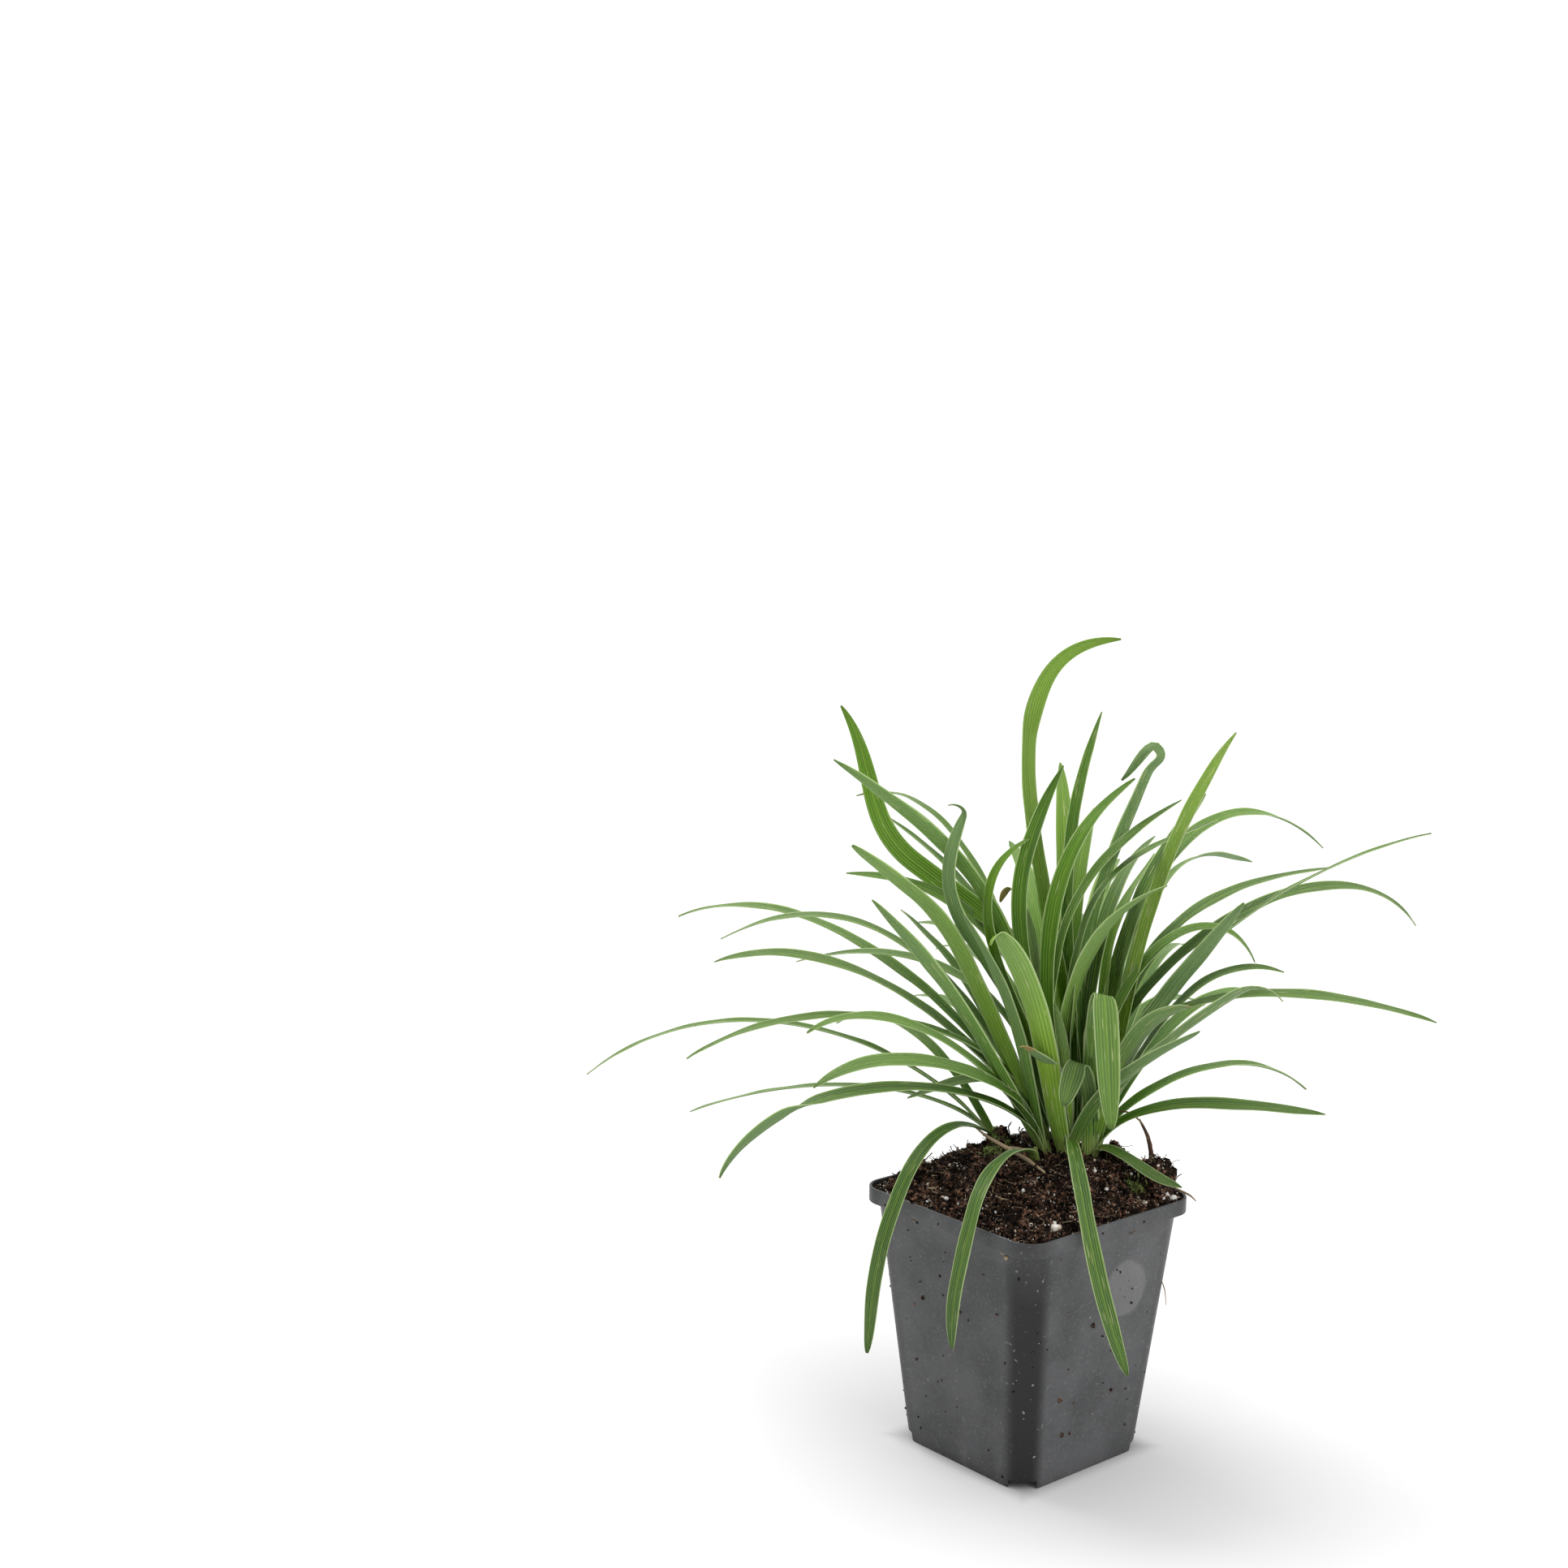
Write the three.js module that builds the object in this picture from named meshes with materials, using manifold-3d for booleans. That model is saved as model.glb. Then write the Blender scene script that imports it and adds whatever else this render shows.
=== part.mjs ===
// A young liriope (lily turf) in its square plastic nursery pot, in millimetres with +Z up.
// The pot's sides run along X and Y, and the origin is the middle of its underside. Nine leafy
// shoots stand in plain holes in a mound of potting compost that fills the pot. Every strap leaf
// is a folded blade with its root sunk in the sheath that its shoot stands on.
import * as THREE from 'three';
import { mergeVertices } from 'three/addons/utils/BufferGeometryUtils.js';
import Module from 'manifold-3d';

// Pot: outer half widths and heights.
const POT_HEIGHT = 100.5;
const RIM_HALF = 45;
const RIM_CORNER = 9;
const LIP_HEIGHT = 6;
const LIP_STEP = 2;
const BASE_HALF = 33.2;
const BODY_CORNER_TOP = 12;
const BODY_CORNER_BASE = 10;
const POT_WALL = 1;
const EDGE_ROUND = 0.4;
const FLOOR_THICKNESS = 1.2;
const FLOOR_RAISE = 1.5;
const FOOT_RING = 2;
const PAD_RADIUS = 11;
const PAD_SLOPE = 1.5;
const ROUND_SLACK = 0.01;
const POINTS_PER_CORNER = 6;
const NOTCH_WIDTH = 10.4;
const NOTCH_HEIGHT = 3.3;
const NOTCH_DEPTH = 8;
const DRAIN_HOLES = 8;
const DRAIN_RADIUS = 3;
const DRAIN_CIRCLE = 20;
const DRAIN_SIDES = 12;

// Compost: level with the rim at the walls and mounded round the crown of the plant.
const SOIL_GAP = 0.3;
const SOIL_EDGE_Z = 99;
const SOIL_MOUND = 12.5;
const MOUND_CENTRE = [-3, 21];
const MOUND_SHOULDER = 0.55;
const SOIL_RINGS = 9;
const SOIL_POINTS_PER_CORNER = 8;
const CRUMB_RELIEF = 1.1;
const LUMP_COUNT = 14;
const LUMP_SMALLEST = 1.3;
const LUMP_SPREAD = 1.3;
const LUMP_FLATNESS = 0.8;
const LUMP_LIFT = 0.32;
const LUMP_ROUGHNESS = 0.44;
const LUMP_MARGIN = 6;

// Shoots: each sheath stands in a plain round hole in the compost.
const SHEATH_RADIUS = 3.5;
const SHEATH_NECK = 2.8;
const SHEATH_SHOULDER = 3;
const SHEATH_BOTTOM = 95;
const SHEATH_TOP = 118;
const SHEATH_SIDES = 10;
const HOLE_GAP = 0.3;
const FOOT_Z = 114;
const ROOT_OFFSET = 2.5;

// Leaf blades.
const RIB_THICKNESS = 0.8;
const EDGE_THICKNESS = 0.6;
const FOLD_AT_ROOT = 0.45;
const FOLD_AT_TIP = 0.15;
const ROW_LENGTH = 16;
const FEWEST_ROWS = 5;
const MOST_ROWS = 11;
const BEND_HANDLE = 0.4;
const ROOT_WIDTH_SHARE = 0.66;
const FULL_WIDTH_AT = 0.4;
const TAPER_FROM = 0.68;
const TIP_WIDTH_SHARE = 0.14;
const TIP_OVERRUN = 0.005;

// A withered flower stalk stands beside the plant.
const STALK_FOOT = [24, 40];
const STALK_RADIUS = 0.8;
const STALK_LEAN = [-2.2, -2.1];
const STALK_BOTTOM = 92;
const STALK_TOP = 126;

// The shoots. foot is where a sheath stands, seen from above. Each leaf starts beside it and grows
// along turn, its compass heading in degrees from +X towards +Y. lean is the blade's first angle
// from upright, and hold is how long it keeps that angle, as a share of the first stretch. way
// lists where the midrib gets to: reach outwards and rise above the foot in millimetres, and the
// angle from upright there; a leaf with more than one entry is folded over. roll turns the blade
// about its midrib in degrees, width is across the blade, and sway bends its end sideways.
const SHOOTS = {
  shoot_front_left: {
    foot: [-3, 13],
    leaves: [
      { turn: 235, lean: 20, hold: 0.25, width: 7, roll: -15, way: [[90, 46, 125]] },
      { turn: 248, lean: -5, hold: 0.25, width: 7.5, roll: -25, way: [[92, 31, 125]] },
      { turn: 231, lean: 10, hold: 0.7, width: 7, roll: -10, way: [[51, 19, 110]] },
      { turn: 239, lean: 30, hold: 0.25, width: 7, roll: 40, way: [[67, 98, 45]] },
      { turn: 239, lean: 12, hold: 0.5, width: 8, roll: 20, way: [[32, 92, 30]] },
      { turn: 243, lean: 15, hold: 0.25, width: 8, roll: -10, way: [[125, -4, 155]] },
    ],
  },
  shoot_left: {
    foot: [-10, 22],
    leaves: [
      { turn: 201, lean: 30, hold: 0.25, width: 7, roll: -5, way: [[166, 69, 115]] },
      { turn: 213, lean: 25, hold: 0.55, width: 7, roll: -5, way: [[132, 69, 120]] },
      { turn: 223, lean: 30, hold: 0.25, width: 7.5, roll: -10, way: [[129, 65, 110]] },
      { turn: 206, lean: 3, hold: 0.55, width: 7, roll: -5, way: [[105, 59, 110]] },
      { turn: 231, lean: 10, hold: 0.35, width: 5.5, roll: -10, way: [[138, 31, 125]] },
      { turn: 190, lean: 35, hold: 0.5, width: 6.5, roll: 10, way: [[71, 80, 60]] },
      { turn: 243, lean: 25, hold: 0.8, width: 9, roll: 35, way: [[78, 118, 50]] },
      { turn: 243, lean: 5, hold: 0.6, width: 8.5, roll: 30, way: [[35, 128, -25], [41, 132, 110]] },
      { turn: 172, lean: 40, hold: 0.4, width: 7, roll: 0, way: [[92, 36, 108]] },
    ],
  },
  shoot_front: {
    foot: [4.5, 17],
    leaves: [
      { turn: 43, lean: -15, hold: 0.6, width: 8, roll: 45, way: [[-8, 148, 25]] },
      { turn: 73, lean: -15, hold: 0.35, width: 8.5, roll: 10, way: [[22, 142, 60]] },
      { turn: 43, lean: 0, hold: 0.25, width: 6, roll: 40, way: [[-20, 120, 60]] },
      { turn: 55, lean: -15, hold: 0.5, width: 7, roll: 10, way: [[37, 135, 60]] },
      { turn: 72, lean: -5, hold: 0.75, width: 6.5, roll: -10, way: [[59, 124, 75]] },
      { turn: 3, lean: -15, hold: 0.4, width: 8.5, roll: -5, way: [[40, 109, 65]] },
      { turn: 4, lean: 18, hold: 0.35, width: 7.5, roll: -20, way: [[56, 58, 55]] },
      { turn: 265, lean: -5, hold: 0.7, width: 7.5, roll: 15, way: [[19, 43, 50], [23, 44, 105]] },
      { turn: 300, lean: 3, hold: 0.5, width: 5.5, roll: 0, sway: -5, way: [[4, 58, 8]] },
      { turn: 200, lean: 28, hold: 0.55, width: 8, roll: -10, way: [[23, 98, 30], [28, 93, 165]] },
      { turn: 266, lean: 22, hold: 0.25, width: 10, roll: 25, way: [[34, 88, 40], [39, 85, 160]] },
      { turn: 314, lean: 20, hold: 0.3, width: 6.5, roll: -25, sway: 22,
        way: [[50, -8, 150], [58, -64, 182]] },
    ],
  },
  shoot_middle: {
    foot: [-4, 27.5],
    leaves: [
      { turn: 223, lean: 10, hold: 0.5, width: 7, roll: -25, way: [[86, 102, 90]] },
      { turn: 185, lean: 20, hold: 0.35, width: 5, roll: 10, way: [[113, 121, 110]] },
      { turn: 231, lean: 15, hold: 0.6, width: 8.5, roll: 40, way: [[91, 148, 55]] },
      { turn: 191, lean: 20, hold: 0.55, width: 6.5, roll: 10, way: [[91, 118, 65]] },
      { turn: 63, lean: 15, hold: 0.25, width: 7.5, roll: 25, way: [[12, 194, 90]] },
      { turn: 88, lean: 0, hold: 0.45, width: 7.5, roll: -5, way: [[8, 166, 25]] },
      { turn: 218, lean: 5, hold: 0.6, width: 9, roll: -30, way: [[60, 106, 55], [90, 166, 35]] },
    ],
  },
  shoot_right: {
    foot: [9, 25],
    leaves: [
      { turn: 58, lean: 15, hold: 0.25, width: 9, roll: 20, way: [[49, 160, 35]] },
      { turn: 48, lean: -5, hold: 0.8, width: 7, roll: 15, way: [[57, 74, 155]] },
      { turn: 8, lean: 15, hold: 0.25, width: 9.5, roll: -25, way: [[39, 63, 75]] },
      { turn: 33, lean: -5, hold: 0.5, width: 7.5, roll: 10, way: [[122, 60, 105]] },
      { turn: 28, lean: 25, hold: 0.3, width: 7.5, roll: 15, way: [[85, 24, 90]] },
      { turn: 18, lean: -5, hold: 0.25, width: 8, roll: -20, way: [[53, 68, 50], [71, 68, 140]] },
      { turn: 1, lean: 55, hold: 0.25, width: 5.5, roll: 15, way: [[42, -4, 85]] },
      { turn: 315, lean: 5, hold: 0.5, width: 9.5, roll: 20, sway: 6,
        way: [[13, 63, 25], [18.5, 63.5, 150], [24, 16, 176]] },
      { turn: 296, lean: 0, hold: 0.5, width: 9, roll: -10, sway: -3,
        way: [[11, 36, 25], [16, 36, 150], [24, 23.5, 160]] },
      { turn: 318, lean: 5, hold: 0.5, width: 7, roll: 10, sway: -2,
        way: [[4, 49, 20], [7.5, 49.5, 150], [10, 38, 172]] },
    ],
  },
  shoot_back_right: {
    foot: [0.5, 34.5],
    leaves: [
      { turn: 103, lean: -15, hold: 0.45, width: 8, roll: -25, way: [[42, 113, 75]] },
      { turn: 103, lean: 5, hold: 0.8, width: 6.5, roll: -30, way: [[42, 106, 55]] },
      { turn: 73, lean: 5, hold: 0.5, width: 9, roll: 5, way: [[44, 133, 40]] },
      { turn: 78, lean: 0, hold: 0.8, width: 7.5, roll: -5, way: [[108, 106, 130]] },
      { turn: 98, lean: 15, hold: 0.8, width: 6.5, roll: -25, way: [[111, 94, 105]] },
      { turn: 65, lean: 5, hold: 0.6, width: 7.5, roll: 5, way: [[95, 103, 85]] },
      { turn: 51, lean: -15, hold: 0.4, width: 7.5, roll: 15, way: [[120, 85, 145]] },
      { turn: 43, lean: -5, hold: 0.25, width: 5, roll: 5, way: [[120, 124, 75]] },
      { turn: 23, lean: 0, hold: 0.25, width: 8.5, roll: -40, way: [[54, 99, 35]] },
      { turn: 35, lean: 25, hold: 0.25, width: 7, roll: 15, way: [[68, 71, 105]] },
      { turn: 31, lean: -10, hold: 0.55, width: 7.5, roll: -30,
        way: [[15, 144, 20], [19, 153, -30], [5, 141, 225]] },
      { turn: 88, lean: 40, hold: 0.4, width: 7, roll: 0, way: [[100, 42, 112]] },
      { turn: 68, lean: 45, hold: 0.35, width: 7, roll: 0, way: [[92, 12, 130]] },
      { turn: 108, lean: 30, hold: 0.4, width: 7.5, roll: 0, way: [[88, 60, 105]] },
    ],
  },
  shoot_outer_left: {
    foot: [-27.5, 10],
    leaves: [
      { turn: 226, lean: 40, hold: 0.35, width: 5.5, roll: 0, way: [[158, 19, 130]] },
      { turn: 211, lean: 50, hold: 0.25, width: 5.5, roll: 5, way: [[125, -5, 115]] },
      { turn: 285, lean: 60, hold: 0.5, width: 5.6, roll: -10, sway: -17,
        way: [[60, -8, 150], [61, -73, 195]] },
      { turn: 182, lean: 40, hold: 0.4, width: 6, roll: 0, way: [[88, 26, 120]] },
    ],
  },
  shoot_back: {
    foot: [-13, 33],
    leaves: [
      { turn: 128, lean: 25, hold: 0.4, width: 7.5, roll: 0, way: [[118, 58, 120]] },
      { turn: 120, lean: 20, hold: 0.45, width: 7, roll: 10, way: [[92, 92, 95]] },
      { turn: 148, lean: 20, hold: 0.45, width: 7.5, roll: -10, way: [[95, 98, 80]] },
      { turn: 160, lean: 35, hold: 0.4, width: 7, roll: 0, way: [[122, 46, 112]] },
      { turn: 100, lean: 35, hold: 0.35, width: 7, roll: 5, way: [[106, 30, 118]] },
      { turn: 138, lean: 10, hold: 0.5, width: 8, roll: 15, way: [[52, 138, 55]] },
      { turn: 172, lean: 25, hold: 0.45, width: 6.5, roll: -5, way: [[100, 64, 105]] },
      { turn: 120, lean: 5, hold: 0.5, width: 7.5, roll: -10, way: [[38, 122, 60]] },
      { turn: 142, lean: 45, hold: 0.4, width: 7, roll: 0, way: [[86, -2, 150]] },
    ],
  },
  shoot_young: {
    foot: [0, 4],
    leaves: [
      { turn: 291, lean: 55, hold: 0.25, width: 6, roll: 10, sway: -5,
        way: [[51, -8, 155], [59, -57, 200]] },
    ],
  },
};

const COLOURS = {
  pot: { color: '#5c5d60', roughness: 0.55, metalness: 0 },
  soil: { color: '#2d1d16', roughness: 1, metalness: 0 },
  leaf: { color: '#4a8236', roughness: 0.5, metalness: 0 },
  dryStem: { color: '#8a7352', roughness: 0.9, metalness: 0 },
};

const wasm = await Module();
wasm.setup();

// The same numbers every time, between 0 and 1.
function seededRandom(seed) {
  let state = seed;
  return () => {
    state = (state * 1664525 + 1013904223) % 4294967296;
    return state / 4294967296;
  };
}

function geometryFrom(points, faces) {
  const geometry = new THREE.BufferGeometry();
  const positions = points.flatMap((point) => [point.x, point.y, point.z]);
  geometry.setAttribute('position', new THREE.Float32BufferAttribute(positions, 3));
  geometry.setIndex(faces.flat());
  return geometry;
}

function solidFrom(geometry) {
  const bare = geometry.clone();
  bare.deleteAttribute('normal');
  bare.deleteAttribute('uv');
  const merged = mergeVertices(bare);
  return new wasm.Manifold(new wasm.Mesh({
    numProp: 3,
    vertProperties: Float32Array.from(merged.attributes.position.array),
    triVerts: Uint32Array.from(merged.index.array),
  }));
}

function geometryOf(solid) {
  const result = solid.getMesh();
  const positions = [];
  for (let i = 0; i < result.vertProperties.length; i += result.numProp) {
    positions.push(...result.vertProperties.slice(i, i + 3));
  }
  const geometry = new THREE.BufferGeometry();
  geometry.setAttribute('position', new THREE.Float32BufferAttribute(positions, 3));
  geometry.setIndex(Array.from(result.triVerts));
  geometry.computeVertexNormals();
  return geometry;
}

// The body with the largest volume, which leaves out the tiny hollows that crossing blades seal.
function outerBody(solid) {
  return solid.decompose().reduce((most, body) => (body.volume() > most.volume() ? body : most));
}

function meshOf(name, solid, finish) {
  const mesh = new THREE.Mesh(geometryOf(solid), new THREE.MeshStandardMaterial(finish));
  mesh.name = name;
  return mesh;
}

// A ring round a square with rounded corners: the same number of points on every ring.
function squareRing(half, corner, z, pointsPerCorner) {
  const ring = [];
  const straight = half - corner;
  for (let quarter = 0; quarter < 4; quarter += 1) {
    const middle = Math.PI / 4 + quarter * Math.PI / 2;
    const x = straight * Math.SQRT2 * Math.cos(middle);
    const y = straight * Math.SQRT2 * Math.sin(middle);
    for (let i = 0; i < pointsPerCorner; i += 1) {
      const angle = middle - Math.PI / 4 + (i / (pointsPerCorner - 1)) * Math.PI / 2;
      ring.push(new THREE.Vector3(x + corner * Math.cos(angle), y + corner * Math.sin(angle), z));
    }
  }
  return ring;
}

// Rings joined one to the next. The first and the last are closed by a fan to a middle point.
function loft(rings, firstMiddle, lastMiddle) {
  const size = rings[0].length;
  const faces = [];
  for (let row = 0; row + 1 < rings.length; row += 1) {
    for (let i = 0; i < size; i += 1) {
      const a = row * size + i;
      const b = row * size + (i + 1) % size;
      faces.push([a, b, b + size], [a, b + size, a + size]);
    }
  }
  const last = (rings.length - 1) * size;
  const first = rings.length * size;
  for (let i = 0; i < size; i += 1) {
    faces.push([first, (i + 1) % size, i]);
    faces.push([first + 1, last + i, last + (i + 1) % size]);
  }
  return geometryFrom([...rings.flat(), firstMiddle, lastMiddle], faces);
}

function cylinderAt(radius, bottom, top, x, y, sides) {
  const geometry = new THREE.CylinderGeometry(radius, radius, top - bottom, sides);
  geometry.rotateX(Math.PI / 2);
  geometry.translate(x, y, (bottom + top) / 2);
  return geometry;
}

// Half width of the pot's outside below the lip.
function wallHalf(z) {
  const share = z / (POT_HEIGHT - LIP_HEIGHT);
  return BASE_HALF + (RIM_HALF - LIP_STEP - BASE_HALF) * share;
}

function wallCorner(z) {
  const share = z / (POT_HEIGHT - LIP_HEIGHT);
  return BODY_CORNER_BASE + (BODY_CORNER_TOP - BODY_CORNER_BASE) * share;
}

function makePot() {
  const lipBottom = POT_HEIGHT - LIP_HEIGHT;
  const ring = (half, corner, z) => squareRing(half, corner, z, POINTS_PER_CORNER);
  const round = (radius, z) => ring(radius, radius - ROUND_SLACK, z);
  const outside = (z, inset) => ring(wallHalf(z) - inset, wallCorner(z) - inset, z);
  const recessEdge = BASE_HALF - FOOT_RING;
  const padEdge = PAD_RADIUS + PAD_SLOPE;
  const insideFloor = FLOOR_RAISE + FLOOR_THICKNESS;
  const rings = [
    round(PAD_RADIUS, 0),
    round(padEdge, FLOOR_RAISE),
    ring(recessEdge - PAD_SLOPE, BODY_CORNER_BASE - FOOT_RING, FLOOR_RAISE),
    ring(recessEdge, BODY_CORNER_BASE - FOOT_RING, 0),
    outside(0, EDGE_ROUND),
    outside(EDGE_ROUND, 0),
    outside(lipBottom, 0),
    ring(RIM_HALF - EDGE_ROUND, RIM_CORNER, lipBottom),
    ring(RIM_HALF, RIM_CORNER, lipBottom + EDGE_ROUND),
    ring(RIM_HALF, RIM_CORNER, POT_HEIGHT - EDGE_ROUND),
    ring(RIM_HALF - EDGE_ROUND, RIM_CORNER, POT_HEIGHT),
    ring(RIM_HALF - POT_WALL, RIM_CORNER - POT_WALL, POT_HEIGHT),
    ring(RIM_HALF - POT_WALL, RIM_CORNER - POT_WALL, lipBottom + POT_WALL),
    outside(lipBottom, POT_WALL),
    outside(insideFloor + POT_WALL, POT_WALL),
    outside(insideFloor, 2 * POT_WALL),
    round(padEdge, insideFloor),
    round(PAD_RADIUS, FLOOR_THICKNESS),
  ];
  const underside = new THREE.Vector3(0, 0, 0);
  const floorTop = new THREE.Vector3(0, 0, FLOOR_THICKNESS);
  let pot = solidFrom(loft(rings, underside, floorTop));
  for (let quarter = 0; quarter < 4; quarter += 1) {
    pot = pot.subtract(solidFrom(cornerNotch(quarter)));
  }
  for (let hole = 0; hole < DRAIN_HOLES; hole += 1) {
    const angle = ((hole + 0.5) / DRAIN_HOLES) * 2 * Math.PI;
    const x = DRAIN_CIRCLE * Math.cos(angle);
    const y = DRAIN_CIRCLE * Math.sin(angle);
    pot = pot.subtract(solidFrom(cylinderAt(DRAIN_RADIUS, 0, POT_HEIGHT, x, y, DRAIN_SIDES)));
  }
  return pot;
}

// A drain slot through the foot of a rounded corner.
function cornerNotch(quarter) {
  const angle = Math.PI / 4 + quarter * Math.PI / 2;
  const reach = (BASE_HALF - BODY_CORNER_BASE) * Math.SQRT2 + BODY_CORNER_BASE;
  const slot = new THREE.BoxGeometry(NOTCH_DEPTH, NOTCH_WIDTH, 2 * NOTCH_HEIGHT);
  slot.translate(reach, 0, 0);
  slot.rotateZ(angle);
  return slot;
}

// Small waves that never repeat exactly, between about -1 and 1.
function crumble(x, y) {
  const coarse = Math.sin(x * 0.61 + 1.3) * Math.sin(y * 0.53 + 0.4);
  const medium = Math.sin(x * 1.37 + y * 0.71) * Math.sin(y * 1.21 - x * 0.43 + 2.1);
  return 0.6 * coarse + 0.4 * medium;
}

// Height of the compost on the way from the wall (share 0) to the middle of the mound (share 1).
function soilHeight(x, y, share) {
  const rise = THREE.MathUtils.smoothstep(share / MOUND_SHOULDER, 0, 1);
  return SOIL_EDGE_Z + SOIL_MOUND * rise + CRUMB_RELIEF * crumble(x, y);
}

function soilSurface(ring, share) {
  return ring.map((edge) => {
    const x = THREE.MathUtils.lerp(edge.x, MOUND_CENTRE[0], share);
    const y = THREE.MathUtils.lerp(edge.y, MOUND_CENTRE[1], share);
    return new THREE.Vector3(x, y, soilHeight(x, y, share));
  });
}

function makeSoilBody() {
  const lipBottom = POT_HEIGHT - LIP_HEIGHT;
  const bottom = FLOOR_RAISE + FLOOR_THICKNESS + SOIL_GAP;
  const inset = POT_WALL + SOIL_GAP;
  const edgeHalf = RIM_HALF - inset;
  const edgeCorner = RIM_CORNER - inset;
  const ring = (half, corner, z) => squareRing(half, corner, z, SOIL_POINTS_PER_CORNER);
  const beside = (z, extra) => ring(wallHalf(z) - inset - extra, wallCorner(z) - inset - extra, z);
  const rings = [
    beside(bottom, POT_WALL),
    beside(bottom + POT_WALL + SOIL_GAP, 0),
    beside(lipBottom + SOIL_GAP, 0),
  ];
  const edge = ring(edgeHalf, edgeCorner, lipBottom + inset);
  rings.push(edge);
  for (let i = 0; i < SOIL_RINGS; i += 1) {
    rings.push(soilSurface(edge, i / SOIL_RINGS));
  }
  const [x, y] = MOUND_CENTRE;
  const middle = new THREE.Vector3(x, y, soilHeight(x, y, 1));
  return solidFrom(loft(rings, new THREE.Vector3(0, 0, bottom), middle));
}

// How far a place is from the compost's edge (0) on the way to the mound's middle (1).
function shareAt(x, y) {
  const half = RIM_HALF - POT_WALL - SOIL_GAP;
  const dx = x - MOUND_CENTRE[0];
  const dy = y - MOUND_CENTRE[1];
  const toX = (Math.sign(dx) * half - MOUND_CENTRE[0]) / dx;
  const toY = (Math.sign(dy) * half - MOUND_CENTRE[1]) / dy;
  return 1 - 1 / Math.min(toX, toY);
}

// A clod, pebble or chip of bark: a rough, flattened ball half sunk in the compost.
function makeLump(x, y, radius, flat, random) {
  const geometry = new THREE.IcosahedronGeometry(radius, 0);
  const merged = mergeVertices(geometry.deleteAttribute('normal').deleteAttribute('uv'));
  const place = merged.attributes.position;
  for (let i = 0; i < place.count; i += 1) {
    const grow = 1 + LUMP_ROUGHNESS * (random() - 0.5);
    place.setXYZ(i, place.getX(i) * grow, place.getY(i) * grow, place.getZ(i) * grow * flat);
  }
  merged.rotateZ(random() * Math.PI);
  merged.translate(x, y, soilHeight(x, y, shareAt(x, y)) + radius * flat * LUMP_LIFT);
  return solidFrom(merged);
}

// The lumps that stand out: [x, y, radius, flatness].
const LUMPS = [
  [35, 35.5, 5.5, 1.1],
  [29, 38, 3.5, 1],
  [38, 31, 3, 0.9],
  [37, -7, 2.6, 0.8],
  [-38, 9, 2.4, 0.9],
  [-24, 12, 3.4, 0.7],
  [28, 28, 3, 0.8],
  [-12, -30, 3, 0.8],
  [12, -36, 2.6, 0.8],
  [-35, -28, 3.2, 0.8],
];

function makeSoil() {
  const random = seededRandom(7);
  let soil = makeSoilBody();
  for (const [x, y, radius, flat] of LUMPS) {
    soil = soil.add(makeLump(x, y, radius, flat, random));
  }
  const reach = RIM_HALF - LUMP_MARGIN;
  for (let i = 0; i < LUMP_COUNT; i += 1) {
    const x = (2 * random() - 1) * reach;
    const y = (2 * random() - 1) * reach;
    const radius = LUMP_SMALLEST + LUMP_SPREAD * random();
    soil = soil.add(makeLump(x, y, radius, LUMP_FLATNESS, random));
  }
  for (const { foot } of Object.values(SHOOTS)) {
    const radius = SHEATH_RADIUS + HOLE_GAP;
    const hole = cylinderAt(radius, SHEATH_BOTTOM - HOLE_GAP, SHEATH_TOP, ...foot, SHEATH_SIDES);
    soil = soil.subtract(solidFrom(hole));
  }
  const stalkHole = cylinderAt(
    STALK_RADIUS + HOLE_GAP, STALK_BOTTOM - HOLE_GAP, FOOT_Z, ...STALK_FOOT, SHEATH_SIDES);
  return soil.subtract(solidFrom(stalkHole));
}

// The cross section of a blade at a share of its length: how wide it is there.
function bladeWidth(share, width) {
  const swell = Math.pow(Math.min(share / FULL_WIDTH_AT, 1), 0.8);
  const root = ROOT_WIDTH_SHARE + (1 - ROOT_WIDTH_SHARE) * swell;
  const past = Math.max(0, (share - TAPER_FROM) / (1 + TIP_OVERRUN - TAPER_FROM));
  const tip = Math.sqrt(1 - Math.min(1, Math.pow(past, 2.4)));
  return width * root * Math.max(tip, TIP_WIDTH_SHARE);
}

// One bend of the midrib, in its own upright plane: x is the reach and y the rise.
function bend(from, to, hold) {
  const length = Math.hypot(to[0] - from[0], to[1] - from[1]);
  const along = ([, , angle], distance) => {
    const radians = THREE.MathUtils.degToRad(angle);
    return new THREE.Vector2(Math.sin(radians), Math.cos(radians)).multiplyScalar(distance);
  };
  const start = new THREE.Vector2(from[0], from[1]);
  const end = new THREE.Vector2(to[0], to[1]);
  const leaving = start.clone().add(along(from, hold * length));
  const arriving = end.clone().sub(along(to, BEND_HANDLE * length));
  return { curve: new THREE.CubicBezierCurve(start, leaving, arriving, end), length };
}

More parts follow.
